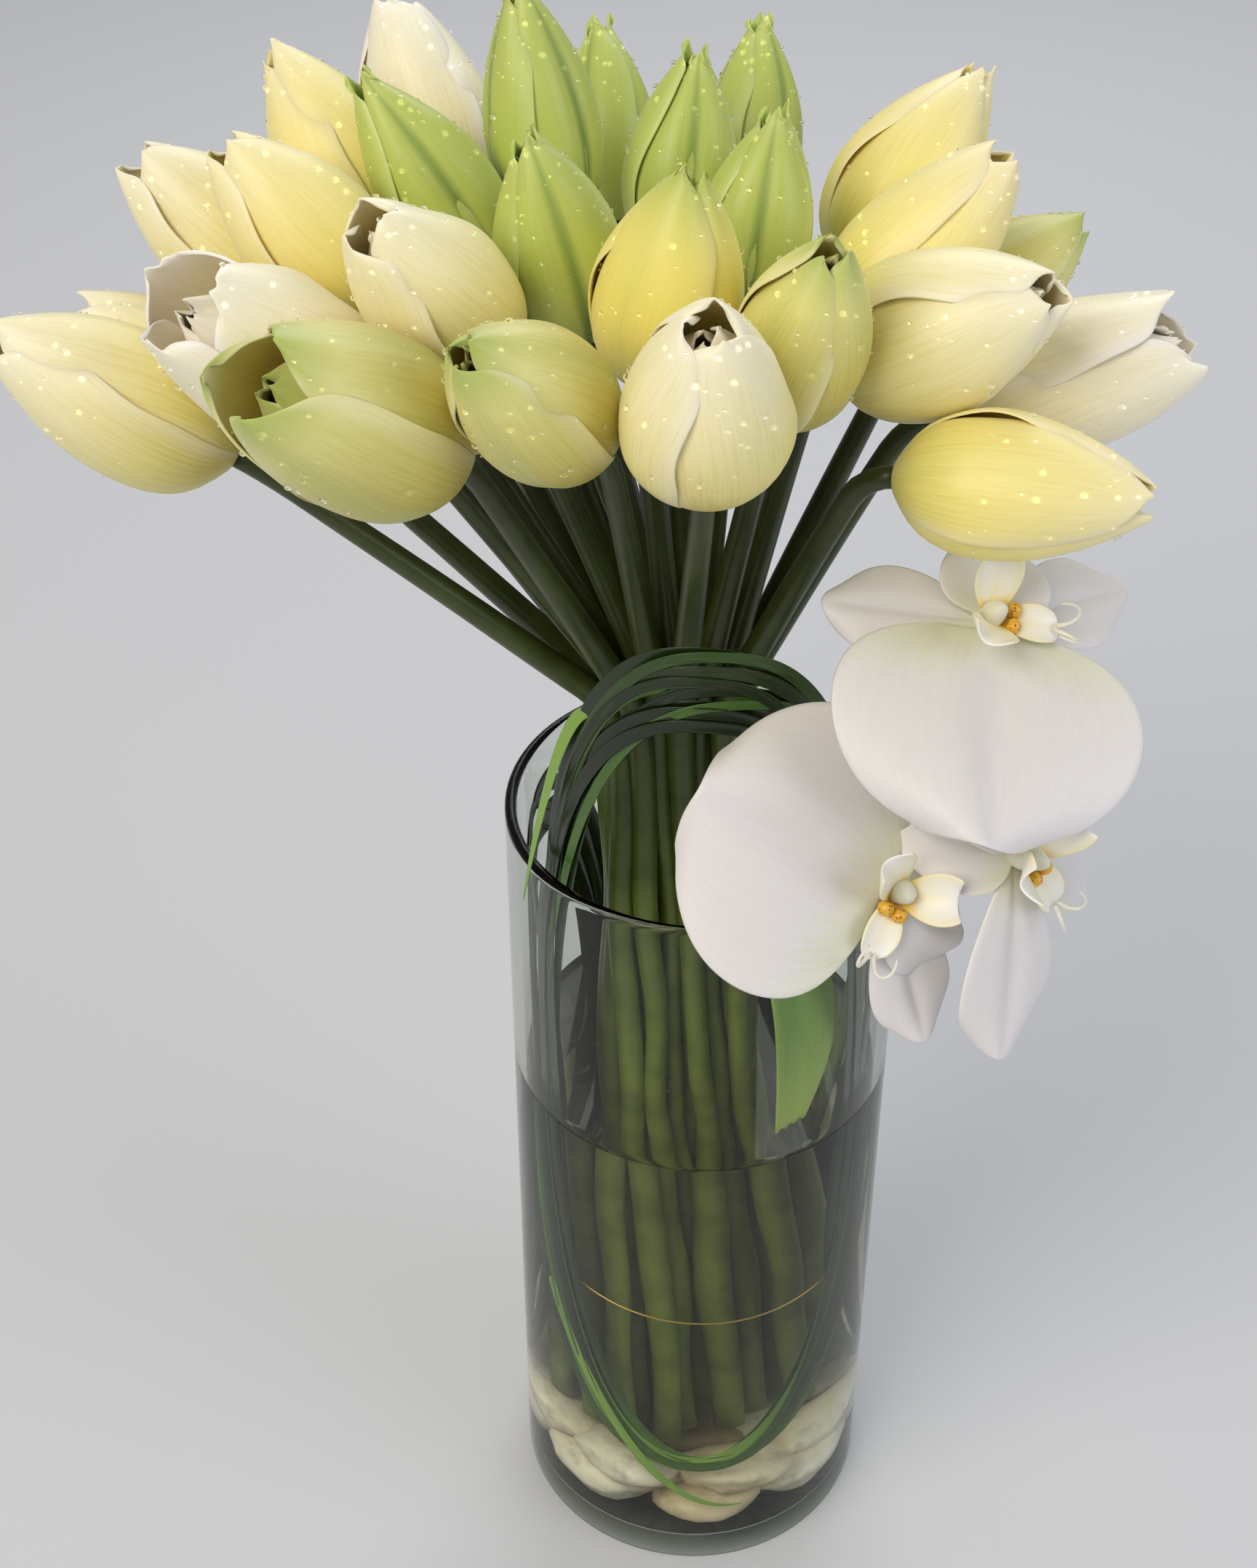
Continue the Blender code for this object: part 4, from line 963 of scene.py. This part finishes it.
# waxy swelling of the lip: deep yellow, freckled with red-brown spots half a millimetre across
place = node(tree, "TexCoord")
freckles = node(tree, "TexVoronoi", {"Vector": place.outputs["Object"], "Scale": 900.0})
colour = node(tree, "ValToRGB", {"Fac": freckles}, stops=[(0.15, "#7c2f12"), (0.32, "#e2a62a"),
        (1.0, "#efc64e")])
surface = node(tree, "BsdfPrincipled", {"Base Color": colour, "Roughness": 0.3})
node(tree, "OutputMaterial", {"Surface": surface})


def ways(degrees):
    """The directions out from a flower's middle and to the left of that, at a turn in degrees."""
    turn = radians(degrees)
    return Vector((cos(turn), sin(turn), 0)), Vector((-sin(turn), cos(turn), 0))


def orchid_blade(length, width, turn_by, lift, height, broad, draw):
    """Place of the points of a petal or sepal on its narrow claw; the flower faces +Z."""
    out, side = ways(turn_by)
    wave, beat = draw.uniform(0, 6.3), draw.uniform(0, 6.3)

    def place(s, t):
        if broad:
            half = width / 2 * max(0.08, 1 - (2 * t ** 0.78 - 1) ** 2) ** 0.44
        else:
            half = width / 2 * (0.12 + 2.6 * t - 1.9 * t * t - 0.4 * t ** 5)
        end = 0.04 + 0.96 * t * (1 - (0.10 if broad else 0.16) * s * s * t * t)
        bow = lift * length * t - 0.16 * length * t * t - 0.10 * width * s * s * t
        ripple = (1.3 if broad else 0.6) * MM * sin(wave + 5 * t + 3 * s) * abs(s) * t
        groove = (2.6 if broad else 2.2) * MM * exp(-(s / 0.15) ** 2) * sin(pi * t)
        fold = (2.2 * MM * sin(beat + 3 * s) * t) if broad else 0
        return (out * (length * end) + side * (s * half)
                + Vector((0, 0, height + bow + ripple - groove + fold)))
    return place


for order, (name, centre, facing, petal, blades) in enumerate(ORCHIDS):
    stance = orchid_frame(centre, facing, petal)
    draw = random.Random(300 + order)
    bm = sheet_mesh()
    for number, (turn_by, size, lift) in enumerate(blades):
        broad = number < 2
        length, width = ORCHID_PETAL if broad else ORCHID_SEPAL
        place = orchid_blade(length * size, width * size, turn_by, lift,
                             (1.6 - 1.1 * number) * MM, broad, draw)
        sheet(bm, place, across=20 if broad else 14, along=24, frame_of=stance)
        dew_sites.append((place, stance, "orchid"))
    petals = add_object(name + "_petals", bm, orchid_white)
    petals.data.materials.append(orchid_back)
    thicken(petals, 1.1 * MM, inner_slot=1)

    # the lip: a tongue and two side lobes that curl up and in round the callus
    bm = sheet_mesh()
    for turn_by, lift, curl, length, width in ((270, 0.30, 1.6, 18, 13), (158, 1.15, 3.4, 13, 17),
                                               (22, 1.15, 3.4, 13, 17)):
        out, side = ways(turn_by)
        length, width = length * MM, width * MM

        def lobe(s, t):
            half = width / 2 * (0.25 + 1.9 * t - 1.5 * t * t)
            rise = lift * length * t - 0.35 * length * t * t + curl * 1.8 * MM * s * s * t
            return (out * (length * (0.10 + 0.90 * t) * (1 - 0.12 * s * s))
                    + side * (s * half) + Vector((0, 0, 3.0 * MM + rise)))
        sheet(bm, lobe, across=10, along=12, frame_of=stance)
    lip = add_object(name + "_lip", bm, lip_skin)
    thicken(lip, 0.8 * MM)

    # two thin tendrils curl back from the end of the tongue
    tendrils = []
    for way in (-1, 1):
        bend = [stance @ (Vector(spot) * MM) for spot in (
            (0.6 * way, -16.5, 5.0), (1.6 * way, -20, 5.5), (4.0 * way, -22, 8.0),
            (5.5 * way, -19, 10.5), (4.5 * way, -15.5, 10.5))]
        tendrils.append((bend, [0.7 * MM, 0.6 * MM, 0.5 * MM, 0.45 * MM, 0.3 * MM]))
    tips = rods(name + "_tendrils", tendrils, orchid_white, 1, 3)

    # callus, two knobs in front of the column, and the column's rounded hood
    bm = bmesh.new()
    for across in (-2.2, 2.2):
        lump(bm, stance, (across, -4.6, 5.6), (2.3, 2.0, 2.4), segments=16, rings=10)
    callus = add_object(name + "_callus", bm, callus_skin)
    bm = bmesh.new()
    made = bmesh.ops.create_uvsphere(bm, u_segments=20, v_segments=14, radius=1)["verts"]
    for vert in made:
        vert.co.x *= 1 - 0.25 * max(0.0, vert.co.z)
        vert.co.y -= 0.35 * max(0.0, vert.co.z) ** 2
    fit = (Matrix.Translation(Vector((0, 1.4, 5.0)) * MM)
           @ Matrix.Diagonal((3.8 * MM, 3.4 * MM, 7.0 * MM, 1)))
    bmesh.ops.transform(bm, matrix=stance @ fit, verts=made)
    bmesh.ops.recalc_face_normals(bm, faces=bm.faces)
    column = add_object(name + "_column", bm, orchid_back)
    for piece in (petals, lip, tips, callus, column):
        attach(piece, "root")
        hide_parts(name)


# ---- dew ----
# Drops of water misted on the petals, 0.7 to 1.8 mm across, held up in low domes by the petals'
# wax. A few bubbles cling round each stem at the water line.

# water again: clear, with sharp highlights
drop_water = see_through("dew_drop", "#ffffff", "#ffffff", 1.333)
# one drop, a flattened ball a metre in radius, is copied to every place at its own size
drop_bm = bmesh.new()
bmesh.ops.create_uvsphere(drop_bm, u_segments=8, v_segments=4, radius=1)
bmesh.ops.scale(drop_bm, vec=(1, 1, 0.7), verts=drop_bm.verts)
drop = bpy.data.meshes.new("drop")
drop_bm.to_mesh(drop)
drop_bm.free()


def add_drop(where):
    """Copy the drop into the dew's mesh, at its own place and size."""
    one = drop.copy()
    one.transform(where)
    bm.from_mesh(one)
    bpy.data.meshes.remove(one)


draw = random.Random(77)
bm = bmesh.new()
for place, frame_of, kind in dew_sites:
    for _ in range({"orchid": 22, "green": 26}.get(kind, 20)):
        s, t = draw.uniform(-0.85, 0.85), draw.uniform(0.25, 0.93)
        radius = draw.choice((0.35, 0.4, 0.45, 0.55, 0.7, 0.9)) * MM
        spot = place(s, t)
        normal = (place(s + 0.02, t) - spot).cross(place(s, t + 0.02) - spot).normalized()
        stand = Vector((0, 0, 1)).rotation_difference(normal).to_matrix().to_4x4()
        add_drop(frame_of @ Matrix.Translation(spot + normal * 0.12 * MM) @ stand
                 @ Matrix.Scale(radius, 4))
for foot, neck in stem_lines:
    middle = foot.lerp(neck, (WATER_TOP - foot.z) / (neck.z - foot.z))
    for _ in range(4):
        angle, radius = draw.uniform(0, 2 * pi), draw.choice((0.4, 0.5, 0.7)) * MM
        spot = middle + Vector((cos(angle), sin(angle), 0)) * (STEM_RADIUS + 0.5 * MM)
        if spot.xy.length < BORE - 2 * MM:
            add_drop(Matrix.Translation(spot) @ Matrix.Scale(radius, 4))
bpy.data.meshes.remove(drop)
dew = add_object("dew_drops", bm, drop_water)
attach(dew, "root")
